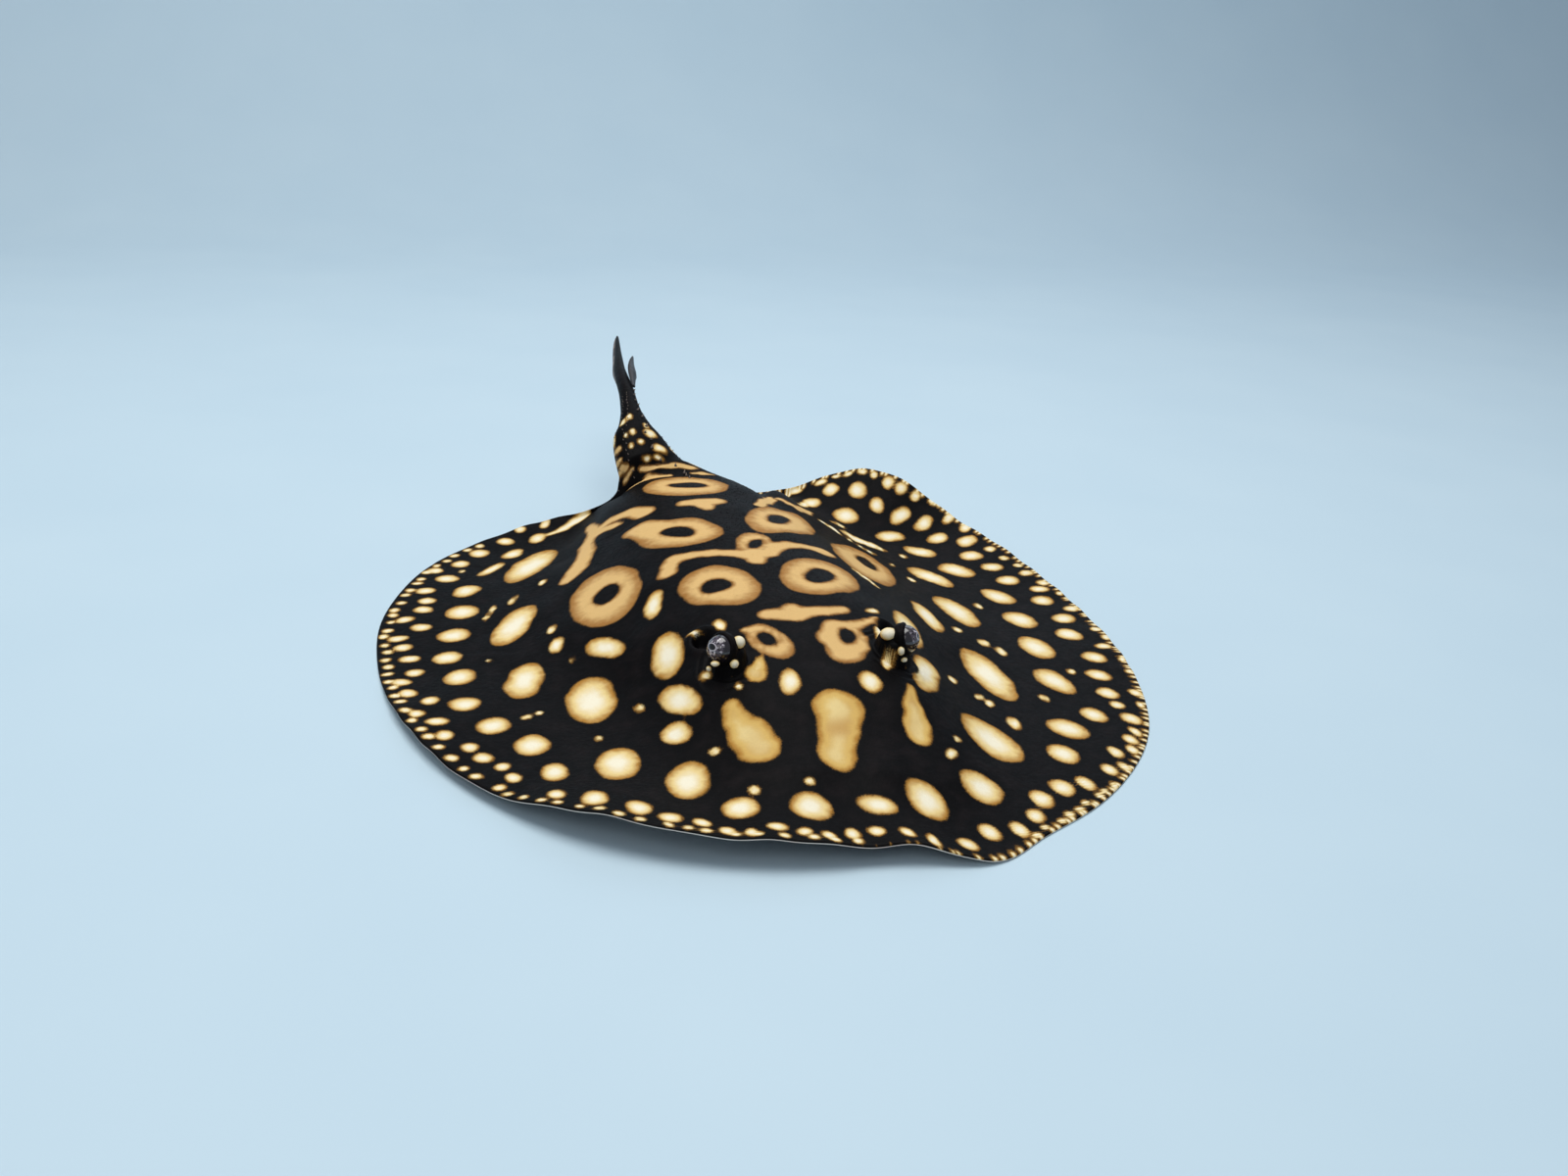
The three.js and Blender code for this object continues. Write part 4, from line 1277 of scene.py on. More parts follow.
@dataclass(frozen=True)
class BellyRelief:
    """Mouth, nostrils, gill slits and vent, pressed into the flat belly."""

    mouth_y: float = -171.0
    mouth_half: float = 17.0
    mouth_bow: float = 2.2
    mouth_lines: tuple = (  # depth, place behind the mouth, how much longer, width
        (3.4, 0.0, 0.0, 1.5), (0.7, 5.0, 2.0, 1.1), (0.6, -4.6, -2.0, 1.0),
    )
    nostril: tuple = (13.0, -181.0)
    nostril_half: float = 3.6
    gill_first: float = -128.0
    gill_step: float = 14.0
    gill_count: int = 5
    gill_outer: float = 58.0
    gill_inner: float = 46.0
    gill_half: float = 6.2
    vent: tuple = (0.0, 138.0)

    def slit(self, across: Array, along: Array, half: float, wide: float) -> Array:
        """Returns 1 on a straight slit's line, fading to 0 beside and beyond it."""
        beyond = np.maximum(np.abs(across) - half, 0)
        return np.exp(-((along / wide) ** 2)) * np.exp(-((beyond / 1.2) ** 2))

    def depth(self, x: Array, y: Array) -> Array:
        """Returns how far the belly is pressed in, in millimetres."""
        across = np.abs(x)
        turn = np.clip(x / self.mouth_half, -1.4, 1.4) * 1.5
        bow = y - self.mouth_y - self.mouth_bow * np.cos(turn)
        total = sum(
            depth * self.slit(x, bow - place, self.mouth_half + longer, wide)
            for depth, place, longer, wide in self.mouth_lines
        )
        outward = across - self.nostril[0]
        slanted = y - self.nostril[1] + outward * 0.5
        total += 2.4 * self.slit(outward, slanted, self.nostril_half, 1.5)
        curtain = y - self.mouth_y + 5.5 + 2.0 * np.cos(across * 0.42)
        total += 0.8 * self.slit(across - 5.0, curtain, 7.0, 0.8)
        for i in range(self.gill_count):
            share = i / (self.gill_count - 1)
            middle = mix(self.gill_outer, self.gill_inner, share)
            u = across - middle
            v = y - (self.gill_first + i * self.gill_step) - 0.28 * u - 0.02 * u * u
            total += 1.9 * self.slit(u, v, self.gill_half, 0.75)
            total += 0.35 * self.slit(u, v - 3.0, self.gill_half + 1, 2.0)
        total += 2.2 * self.slit(y - self.vent[1], x - self.vent[0], 7.0, 1.3)
        return total


@dataclass(frozen=True)
class Zone:
    """A box of the body whose faces are divided further."""

    x: tuple[float, float]
    y: tuple[float, float]
    upper: bool
    cuts: int


@dataclass
class Skin:
    """The skin of disc and tail, with relief and markings."""

    disc_ribs: int = 268
    join_ribs: int = 30
    tail_ribs: int = 72
    top_columns: int = 76
    bottom_columns: int = 18
    rim_columns: int = 3
    frill: float = 0.9
    frill_pitch: float = 31.0
    tail_starts: float = 0.35  # join from which the tail's markings are laid
    tail_inset: float = 24.0  # stands for the distance to the margin, over the tail
    weld: float = 0.02
    head: HeadRelief = HeadRelief()
    belly: BellyRelief = BellyRelief()
    zones: tuple = (
        Zone((33.0, 66.0), (-146.0, -84.0), True, 2),
        Zone((0.0, 26.0), (-192.0, -158.0), False, 3),
        Zone((34.0, 70.0), (-138.0, -62.0), False, 2),
        Zone((0.0, 6.0), (126.0, 150.0), False, 3),
    )

    def ribs(self) -> Ribs:
        """Returns the ribs of this skin."""
        return Ribs.laid(self.disc_ribs, self.join_ribs, self.tail_ribs)

    def loop(self) -> tuple[Array, Array, Array, Array]:
        """Returns hand, share, side and rim angle of the points round one rib pair."""
        top = crowded(self.top_columns, 0.0, 1.0, ((0.26, 0.5, 0.1), (1.0, 1.3, 0.12)))
        bottom = crowded(self.bottom_columns, 0.0, 1.0, ((0.15, 1.2, 0.2), (1.0, 1.0, 0.08)))
        turns = np.linspace(90.0, -90.0, self.rim_columns + 2)[1:-1]
        share = np.concatenate([top, np.ones(len(turns)), bottom[::-1]])
        upper = np.concatenate([np.ones(len(top)), turns > 0, np.zeros(len(bottom))]).astype(bool)
        turn = np.concatenate([np.full(len(top), 90.0), turns, np.full(len(bottom), -90.0)])
        back = slice(-2, 0, -1)
        hand = np.concatenate([np.ones(len(share)), -np.ones(len(share) - 2)])
        return (
            hand,
            np.concatenate([share, share[back]]),
            np.concatenate([upper, upper[back]]),
            np.concatenate([turn, turn[back]]),
        )

    def plain(self) -> Raw:
        """Returns the body without relief or markings, with its own coordinates stored."""
        ribs = self.ribs()
        hand, share, upper, turn = self.loop()
        shape = (len(ribs.along), len(hand))
        rows = [np.broadcast_to(v[:, None], shape) for v in (ribs.bearing, ribs.along, ribs.join)]
        columns = [np.broadcast_to(v[None, :], shape) for v in (hand, share, upper, turn)]
        points = body_points(*rows, *columns)
        quarter = 90.0 * columns[1]
        around = columns[0] * np.where(columns[2], quarter, 180.0 - quarter)
        below = smooth(-columns[3], -60.0, 60.0)
        tail_below = smooth(np.abs(around), 128.0, 150.0)
        stored = {
            "around": around,
            "along": rows[1],
            "join": rows[2],
            "upper": columns[2].astype(float),
            "under": mix(below, tail_below, rows[2]),
        }
        flat = {name: values.reshape(-1).astype(float) for name, values in stored.items()}
        return Raw(points.reshape(-1, 3), tube_faces(*shape), flat)

    def refine(self, raw: Raw) -> Raw:
        """Returns the body with the faces of its zones divided.

        Args:
            raw: The plain body.

        Returns:
            The finer body, welded along its seams and poles.
        """
        work = bmesh.new()
        layers = {name: work.verts.layers.float.new(name) for name in raw.stored}
        verts = [work.verts.new(p) for p in raw.points]
        for name, layer in layers.items():
            for vert, value in zip(verts, raw.stored[name]):
                vert[layer] = value
        for face in raw.faces:
            work.faces.new([verts[k] for k in face])
        bmesh.ops.remove_doubles(work, verts=work.verts, dist=self.weld)
        upper = layers["upper"]
        for zone in self.zones:
            def inside(vert: bmesh.types.BMVert) -> bool:
                """Tells whether a point lies in the zone."""
                across, y, _ = vert.co
                fits = zone.x[0] <= abs(across) <= zone.x[1] and zone.y[0] <= y <= zone.y[1]
                return fits and (vert[upper] > 0.5) == zone.upper

            chosen = {v for v in work.verts if inside(v)}
            edges = [e for e in work.edges if e.verts[0] in chosen and e.verts[1] in chosen]
            bmesh.ops.subdivide_edges(work, edges=edges, cuts=zone.cuts, use_grid_fill=True)
        bmesh.ops.triangulate(work, faces=[f for f in work.faces if len(f.verts) > 4])
        work.verts.index_update()
        points = np.array([v.co for v in work.verts])
        faces = [[v.index for v in f.verts] for f in work.faces]
        stored = {name: np.array([v[layer] for v in work.verts]) for name, layer in layers.items()}
        work.free()
        return Raw(points, faces, stored)

    def shape(self, raw: Raw) -> None:
        """Moves the points of the body to show its folds, frills, mounds and pits."""
        x, y, z = raw.points.T
        on_disc = 1 - raw.stored["join"]
        upper = raw.stored["upper"] > 0.5
        bearing, share, wave = FORM.disc_place(x, y)
        phase = margin_arc(bearing) * math.tau / self.frill_pitch
        ripple = 0.5 + 0.5 * np.sin(phase + 1.5 * wobble(x, y, 90.0, 31))
        z = z + self.frill * ripple * smooth(share, 0.8, 1.0) * smooth(wave, 0.5, 4.0) * on_disc
        soft = 0.4 * wobble(x, y, 38.0, 33) * smooth(share, 0.98, 0.7)
        top = self.head.top(x, y, z + soft * on_disc)
        pressed = z + self.belly.depth(x, y)
        z = np.where(on_disc > 0.999, np.where(upper, top, pressed), z)
        raw.points = np.stack([x, y, z], -1)
        swell = np.sqrt(np.clip(self.head.depth_in_dots(raw.points), 0, 1))
        sides = np.stack([np.sign(x), np.ones_like(x), np.ones_like(x)], -1)
        outward = raw.points - sides * np.array(self.head.orbit)
        outward /= np.linalg.norm(outward, axis=1, keepdims=True)
        raw.points += outward * (self.head.dot_height * swell * upper * on_disc)[:, None]

    def dress(self, raw: Raw) -> None:
        """Stores the markings of the body."""
        x, y, _ = raw.points.T
        coat = Coat(x, y)
        MARKINGS.lay_plan(coat)
        join = raw.stored["join"]
        on_tail = join > self.tail_starts
        TAIL_MARKINGS.lay(coat, raw.stored["around"], raw.stored["along"], on_tail)
        self.head.darkened(coat)
        self.head.lay_dots(coat, raw.points)
        bearing, share, _ = FORM.disc_place(x, y)
        coat.clear(raw.stored["under"])
        inset = mix((1 - share) * FORM.margin_radius(bearing), self.tail_inset, join)
        raw.stored.update(coat.values(inset, bearing))

    def build(self) -> Raw:
        """Returns the whole skin with its markings."""
        raw = self.refine(self.plain())
        self.shape(raw)
        self.dress(raw)
        return raw


@dataclass(frozen=True)
class PelvicFin:
    """A short rounded flap under the rear of the disc, with the ridges of its rays."""

    hand: int
    root: tuple = (42.0, 172.0, 199.0)
    edge: tuple = ((90.0, 196.0), (68.0, 228.0), (49.0, 219.0))
    thickness: float = 2.6
    bottom: float = 0.6
    rise: float = 3.0
    rays: int = 13
    columns: int = 72
    rows: int = 14
    spots: tuple = ((80, 203, 9, 7), (66, 217, 8, 8), (56, 212, 6, 6), (72, 208, 5, 5))

    def outline(self) -> Array:
        """Returns the free edge from the front of the root to its back."""
        x, front, back = self.root
        knots = np.array([(x, front), *self.edge, (x, back)])
        padded = np.concatenate([2 * knots[:1] - knots[1:2], knots, 2 * knots[-1:] - knots[-2:-1]])
        u = np.linspace(0, len(knots) - 1, self.columns + 1)
        i = np.minimum(u.astype(int), len(knots) - 2)
        t = (u - i)[:, None]
        a, b, c, d = (padded[i + k] for k in range(4))
        return 0.5 * (2 * b + (c - a) * t + (2 * a - 5 * b + 4 * c - d) * t**2
                      + (3 * b - a - 3 * c + d) * t**3)

    def build(self) -> Raw:
        """Returns the fin with its markings."""
        edge = self.outline()
        centre = np.array([self.root[0] - 4.0, (self.root[1] + self.root[2]) / 2])
        share = np.linspace(0, 1, self.rows + 1)
        loop = np.concatenate([share, share[::-1][1:-1]])
        upper = np.concatenate([np.ones(len(share)), np.zeros(len(share) - 2)])
        spot = centre + (edge[:, None, :] - centre) * loop[None, :, None]
        turn = np.linspace(0, math.tau * self.rays, len(edge))[:, None]
        ridge = 0.22 * np.cos(turn) * smooth(loop, 0.25, 0.7) * smooth(loop, 1.0, 0.9)
        depth = mix(self.thickness, 0.9, loop**2) * smooth(loop, 1.02, 0.9) + ridge
        z = self.bottom + self.rise * loop**2 + 0.5 + (upper - 0.35) * depth
        points = np.stack([self.hand * spot[..., 0], spot[..., 1], z], -1)
        faces = tube_faces(len(edge), len(loop), capped=True)
        flat = points.reshape(-1, 3)
        coat = Coat(flat[:, 0], flat[:, 1])
        everywhere = np.arange(len(flat))
        for x, y, width, height in self.spots:
            shape = Spot(self.hand * x, y, width, height)
            coat.lay(everywhere, *shape.measure(coat.x, coat.y), Tone.CREAM)
        under = np.broadcast_to(1 - upper, points.shape[:2]).reshape(-1)
        coat.clear(under)
        inset = np.broadcast_to((1 - loop) * 70 + 5, points.shape[:2]).reshape(-1)
        stored = coat.values(inset, np.degrees(np.arctan2(flat[:, 0], -flat[:, 1])))
        return Raw(flat, faces, {**stored, "under": under})


# ------------------------------------------------------------------ eyes
@dataclass(frozen=True)
class Eye:
    """One eyeball and the folds of skin round it."""

    hand: int
    gaze: tuple = (0.8, -0.42, 0.42)
    opening: float = 76.0
    fold_reach: float = 128.0
    fold_height: float = 1.2
    head: HeadRelief = HeadRelief()
    around: int = 64
    rings: int = 20

    @property
    def side(self) -> str:
        """Returns the side that the eye is on."""
        return "left" if self.hand > 0 else "right"

    @property
    def node(self) -> str:
        """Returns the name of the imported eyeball."""
        return f"eye_{self.side}"

    def measure(self) -> tuple[Array, float]:
        """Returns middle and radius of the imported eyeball, in millimetres."""
        low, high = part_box(self.node)
        return np.array((low + high) / 2) / UNIT, (high.z - low.z) / 2 / UNIT

    def axes(self) -> Array:
        """Returns rows of the eye's side, up and gaze directions."""
        gaze = np.array([self.hand * self.gaze[0], self.gaze[1], self.gaze[2]])
        gaze /= np.linalg.norm(gaze)
        side = np.cross([0.0, 0.0, 1.0], gaze)
        side /= np.linalg.norm(side)
        return np.stack([side, np.cross(gaze, side), gaze])

    def turned(self, polar: Array, turn: Array, radius: Array) -> Array:
        """Returns points at polar angles and turns about the gaze, at distances from the middle."""
        centre, _ = self.measure()
        side, up, gaze = self.axes()
        across = np.sin(polar) * radius
        return (
            centre
            + side * (across * np.cos(turn))[..., None]
            + up * (across * np.sin(turn))[..., None]
            + gaze * (np.cos(polar) * radius)[..., None]
        )

    def ball(self) -> bpy.types.Object:
        """Returns the eyeball, a little fuller in front."""
        centre, radius = self.measure()
        polar = np.radians(np.concatenate([[0.01], np.linspace(4, 176, 44), [179.99]]))[:, None]
        turn = np.linspace(0, math.tau, self.around, endpoint=False)[None, :]
        bulge = 1 + 0.035 * np.exp(-((np.degrees(polar) / 34) ** 2)) + 0 * turn
        points = self.turned(polar + 0 * turn, turn + 0 * polar, (radius - 0.35) * bulge)
        faces = tube_faces(*points.shape[:2], capped=True)
        finish = EyeFinish(f"ray_eye_{self.side}", tuple(centre), tuple(self.axes()[2]), radius)
        return Raw(points.reshape(-1, 3), faces).build(f"eyeball_{self.side}", finish.make())

    def folds(self) -> Raw:
        """Returns the ring of wrinkled skin round the eyeball, with its markings."""
        _, radius = self.measure()
        share = np.linspace(0, 1, self.rings)
        turn = np.linspace(0, math.tau, self.around, endpoint=False)[None, :]
        opening = self.opening + 3.0 * np.cos(2 * turn) - 5.0 * np.sin(turn)
        polar = np.radians(opening + (self.fold_reach - opening) * share[:, None])
        lip = np.clip(share[:, None] / 0.16, 0, 1) ** 0.6
        fall = smooth(share[:, None], 0.95, 0.45)
        ripple = np.sin(share[:, None] * 17 + 2.0 * np.sin(3 * turn))
        wrinkle = 0.16 * ripple * smooth(share[:, None], 0.1, 0.3)
        pucker = 0.1 * np.sin(23 * turn) * smooth(share[:, None], 0.5, 0.1)
        height = self.fold_height * lip * (0.35 + 0.65 * fall) + wrinkle + pucker * lip
        plain = self.turned(polar, turn + 0 * polar, radius - 0.1 + height)
        swell = np.sqrt(np.clip(self.head.depth_in_dots(plain.reshape(-1, 3)), 0, 1))
        height = height + self.head.dot_height * swell.reshape(height.shape)
        outer = self.turned(polar, turn + 0 * polar, radius - 0.1 + height)
        inner = self.turned(polar[::-1], turn + 0 * polar, radius - 1.0 + 0 * polar)
        points = np.concatenate([outer, inner])
        faces = tube_faces(*points.shape[:2])
        last = (len(points) - 1) * self.around
        following = [(k + 1) % self.around for k in range(self.around)]
        faces += [[last + k, last + n, n, k] for k, n in enumerate(following)]
        flat = points.reshape(-1, 3)
        coat = Coat(flat[:, 0], flat[:, 1])
        self.head.lay_dots(coat, flat)
        stored = coat.values(np.full(len(flat), 90.0), np.zeros(len(flat)))
        return Raw(flat, faces, {**stored, "under": np.zeros(len(flat))})


# ------------------------------------------------------------------ sting, thorns, denticles
@dataclass(frozen=True)
class Sting:
    """The flat toothed blade that lies over the tail."""

    start: float = 284.0
    stop: float = 352.0
    width: float = 9.0
    depth: float = 5.0
    root: float = 0.4
    swell: float = 0.35
    clear: float = 0.3
    spread: float = 9.5
    teeth: int = 26
    tooth: float = 0.7
    rings: int = 208
    around: int = 16

    def build(self) -> bpy.types.Object:
        """Returns the sting."""
        t = np.linspace(0, 0.998, self.rings)[:, None]
        at = FORM.tail_frame(mix(self.start, self.stop, t[:, 0]))
        root = mix(self.root, 1.0, np.minimum(1, t / self.swell))
        taper = root * np.minimum(1, 1.9 * (1 - t)) ** 0.7
        saw = 1 - (t * self.teeth) % 1.0
        toothed = self.tooth * saw * smooth(t, 0.22, 0.34) * smooth(t, 1.0, 0.95)
        turn = np.linspace(0, math.tau, self.around, endpoint=False)[None, :]
        edgeward = np.abs(np.cos(turn)) ** 6
        half = self.width / 2 * taper - 0.2 + toothed * edgeward
        groove = 1 - 0.22 * np.exp(-((np.cos(turn) / 0.2) ** 2)) * (np.sin(turn) < 0)
        across = half * np.cos(turn)
        height = self.depth / 2 * taper * np.sin(turn) * groove
        over = at["half_depth"][:, None] + self.clear + self.depth / 2 * taper + self.spread * t * t
        points = (
            at["centre"][:, None, :]
            + at["side"][:, None, :] * across[..., None]
            + at["dorsal"][:, None, :] * (over + height)[..., None]
        )
        faces = tube_faces(self.rings, self.around, capped=True)
        finish = HornFinish("sting_horn", paint(34, 29, 33), paint(18, 16, 22), 1.2, 0.42)
        stored = {"height": np.repeat(t[:, 0], self.around)}
        return Raw(points.reshape(-1, 3), faces, stored).build("tail_spine", finish.make())


class Tree(Nodes):
    """A geometry node tree, with short calls to run it on a mesh."""

    def __init__(self, name: str, inputs: tuple) -> None:
        """Makes the tree.

        Args:
            name: Name of the tree.
            inputs: Pairs of an input's name and its socket type.
        """
        super().__init__(bpy.data.node_groups.new(name, "GeometryNodeTree"))
        sockets = self.tree.interface
        sockets.new_socket("Geometry", in_out="INPUT", socket_type="NodeSocketGeometry")
        for label, kind in inputs:
            sockets.new_socket(label, in_out="INPUT", socket_type=kind)
        sockets.new_socket("Geometry", in_out="OUTPUT", socket_type="NodeSocketGeometry")
        self.taken = self.tree.nodes.new("NodeGroupInput").outputs
        self.output = self.tree.nodes.new("NodeGroupOutput")

    def stand(self, points: object, instance: object, turn: object, size: object) -> None:
        """Ends the tree with a copy of the instance on each point, in the tree's material."""
        stood = self.node(
            "GeometryNodeInstanceOnPoints", None, Points=points, Instance=instance, Rotation=turn,
            Scale=size,
        )
        real = self.node("GeometryNodeRealizeInstances", None, Geometry=stood.outputs[0])
        done = self.node(
            "GeometryNodeSetMaterial", None, Geometry=real.outputs[0],
            Material=self.taken["Material"],
        )
        self.feed(self.output.inputs[0], done.outputs[0])

    def named(self, name: str, kind: str = "FLOAT") -> bpy.types.NodeSocket:
        """Returns a value stored on the geometry."""
        node = self.node("GeometryNodeInputNamedAttribute", {"data_type": kind}, Name=name)
        return node.outputs["Attribute"]

    def grow(self, piece: bpy.types.Object, name: str, **values: object) -> bpy.types.Object:
        """Runs the tree on a mesh and returns the result as a plain object.

        Args:
            piece: The object whose mesh the tree starts from; it is removed.
            name: Name of the new piece.
            values: Values of the tree's inputs, by name with underscores for blanks.

        Returns:
            The new object.
        """
        modifier = piece.modifiers.new("grow", "NODES")
        modifier.node_group = self.tree
        ids = {
            item.name: item.identifier
            for item in self.tree.interface.items_tree
            if item.in_out == "INPUT"
        }
        for label, value in values.items():
            modifier[ids[label.replace("_", " ")]] = value
        graph = bpy.context.evaluated_depsgraph_get()
        mesh = bpy.data.meshes.new_from_object(piece.evaluated_get(graph), depsgraph=graph)
        piece.modifiers.clear()
        bpy.data.objects.remove(piece)
        mesh.name = name
        mesh.polygons.foreach_set("use_smooth", np.ones(len(mesh.polygons), bool))
        return added(name, mesh)


@dataclass(frozen=True)
class Thorns:
    """Rows of backward thorns on the tail: a strong one on the back, finer ones at the sides."""

    start: float = 182.0
    stop: float = 278.0
    back_count: int = 15
    side_count: int = 24
    side_rows: tuple = ((0.62, 0.5), (0.98, 0.42))  # share of the way down the side, and size
    height: float = 3.5
    radius: float = 1.75
    sway: float = 2.2
    bend: float = 0.9
    sunk: float = 0.25
    sides: int = 10
    seed: int = 7

    def roots(self, ribs: Ribs) -> tuple[Array, Array, Array]:
        """Returns places, directions and sizes of the thorns."""
        rng = np.random.default_rng(self.seed)
        places, ways, sizes = [], [], []
        rows = [(0.0, self.back_count, 1.0)]
        rows += [(way * turn, self.side_count, size) for turn, size in self.side_rows for way in (1, -1)]
        for turn, count, size in rows:
            for i in range(count):
                t = (i + rng.uniform(-0.2, 0.2)) / (count - 1)
                y = mix(self.start + 14 * abs(turn), self.stop - 10 * abs(turn), t)
                share = abs(turn) + rng.normal(0, 0.03)
                hand = 1.0 if turn >= 0 else -1.0
                bearing, along, join = ribs.at(y)
                numbers = [np.array([v]) for v in (bearing, along, join, hand, min(share, 0.999))]
                place = body_points(*numbers, np.array([True]), np.array([90.0]))[0]
                at = FORM.tail_frame(np.array([y]))
                angle = hand * share * math.pi / 2
                out = at["dorsal"][0] * math.cos(angle) + at["side"][0] * math.sin(angle)
                if turn == 0.0:
                    place = place + at["side"][0] * self.sway * math.sin(i * 2.4) * (1 - t * 0.6)
                places.append(place - out * self.sunk)
                ways.append(out + at["forward"][0] * 0.75)
                grown = (0.6 + 0.4 * min(1.0, 6 * t)) * (1.0 - 0.25 * t)
                sizes.append(size * grown * rng.uniform(0.8, 1.1))
        return np.array(places), np.array(ways), np.array(sizes)

    def tree(self) -> Tree:
        """Returns the tree that sets a bent, flared thorn on each root."""
        kinds = (("Material", "NodeSocketMaterial"), ("Height", "NodeSocketFloat"),
                 ("Radius", "NodeSocketFloat"), ("Bend", "NodeSocketFloat"))
        tree = Tree("thorn_rows", kinds)
        cone = tree.node(
            "GeometryNodeMeshCone", {"fill_type": "NGON"},
            Vertices=self.sides, Radius_Top=0.02, Radius_Bottom=1.0, Depth=1.0, Side_Segments=5,
        )
        x, y, z = tree.axes(tree.node("GeometryNodeInputPosition").outputs[0])
        slender = tree.math("POWER", tree.math("SUBTRACT", 1.0, z), 3.0)
        share = tree.math("ADD", 0.62, tree.math("MULTIPLY", 0.38, slender))
        flare = tree.math("MULTIPLY", tree.taken["Radius"], share)
        lean = tree.math("MULTIPLY", tree.taken["Bend"], tree.math("POWER", z, 2.0))
        joined = tree.node(
            "ShaderNodeCombineXYZ", None,
            X=tree.math("ADD", tree.math("MULTIPLY", x, flare), lean),
            Y=tree.math("MULTIPLY", y, flare), Z=tree.math("MULTIPLY", z, tree.taken["Height"]),
        )
        marked = tree.node(
            "GeometryNodeStoreNamedAttribute", {"data_type": "FLOAT", "domain": "POINT"},
            Geometry=cone.outputs["Mesh"], Name="height", Value=z,
        )
        bent = tree.node(
            "GeometryNodeSetPosition", None,
            Geometry=marked.outputs["Geometry"], Position=joined.outputs[0],
        )
        points = tree.node("GeometryNodeMeshToPoints", None, Mesh=tree.taken["Geometry"])
        way = tree.named("way", "FLOAT_VECTOR")
        turned = tree.node("FunctionNodeAlignRotationToVector", {"axis": "Z"}, Vector=way)
        tree.stand(points.outputs[0], bent.outputs[0], turned.outputs[0], tree.named("size"))
        return tree

    def build(self, ribs: Ribs) -> bpy.types.Object:
        """Returns all thorns as one piece."""
        places, ways, sizes = self.roots(ribs)
        mesh = bpy.data.meshes.new("thorn_roots")
        mesh.from_pydata((places * UNIT).tolist(), [], [])
        store(mesh, "way", ways)
        store(mesh, "size", sizes)
        finish = HornFinish("thorn_horn", paint(70, 60, 56), paint(150, 134, 120), 0.9, 0.5)
        return self.tree().grow(
            added("thorn_roots", mesh), "tail_thorns", Material=finish.make(),
            Height=self.height * UNIT, Radius=self.radius * UNIT, Bend=self.bend * UNIT,
        )


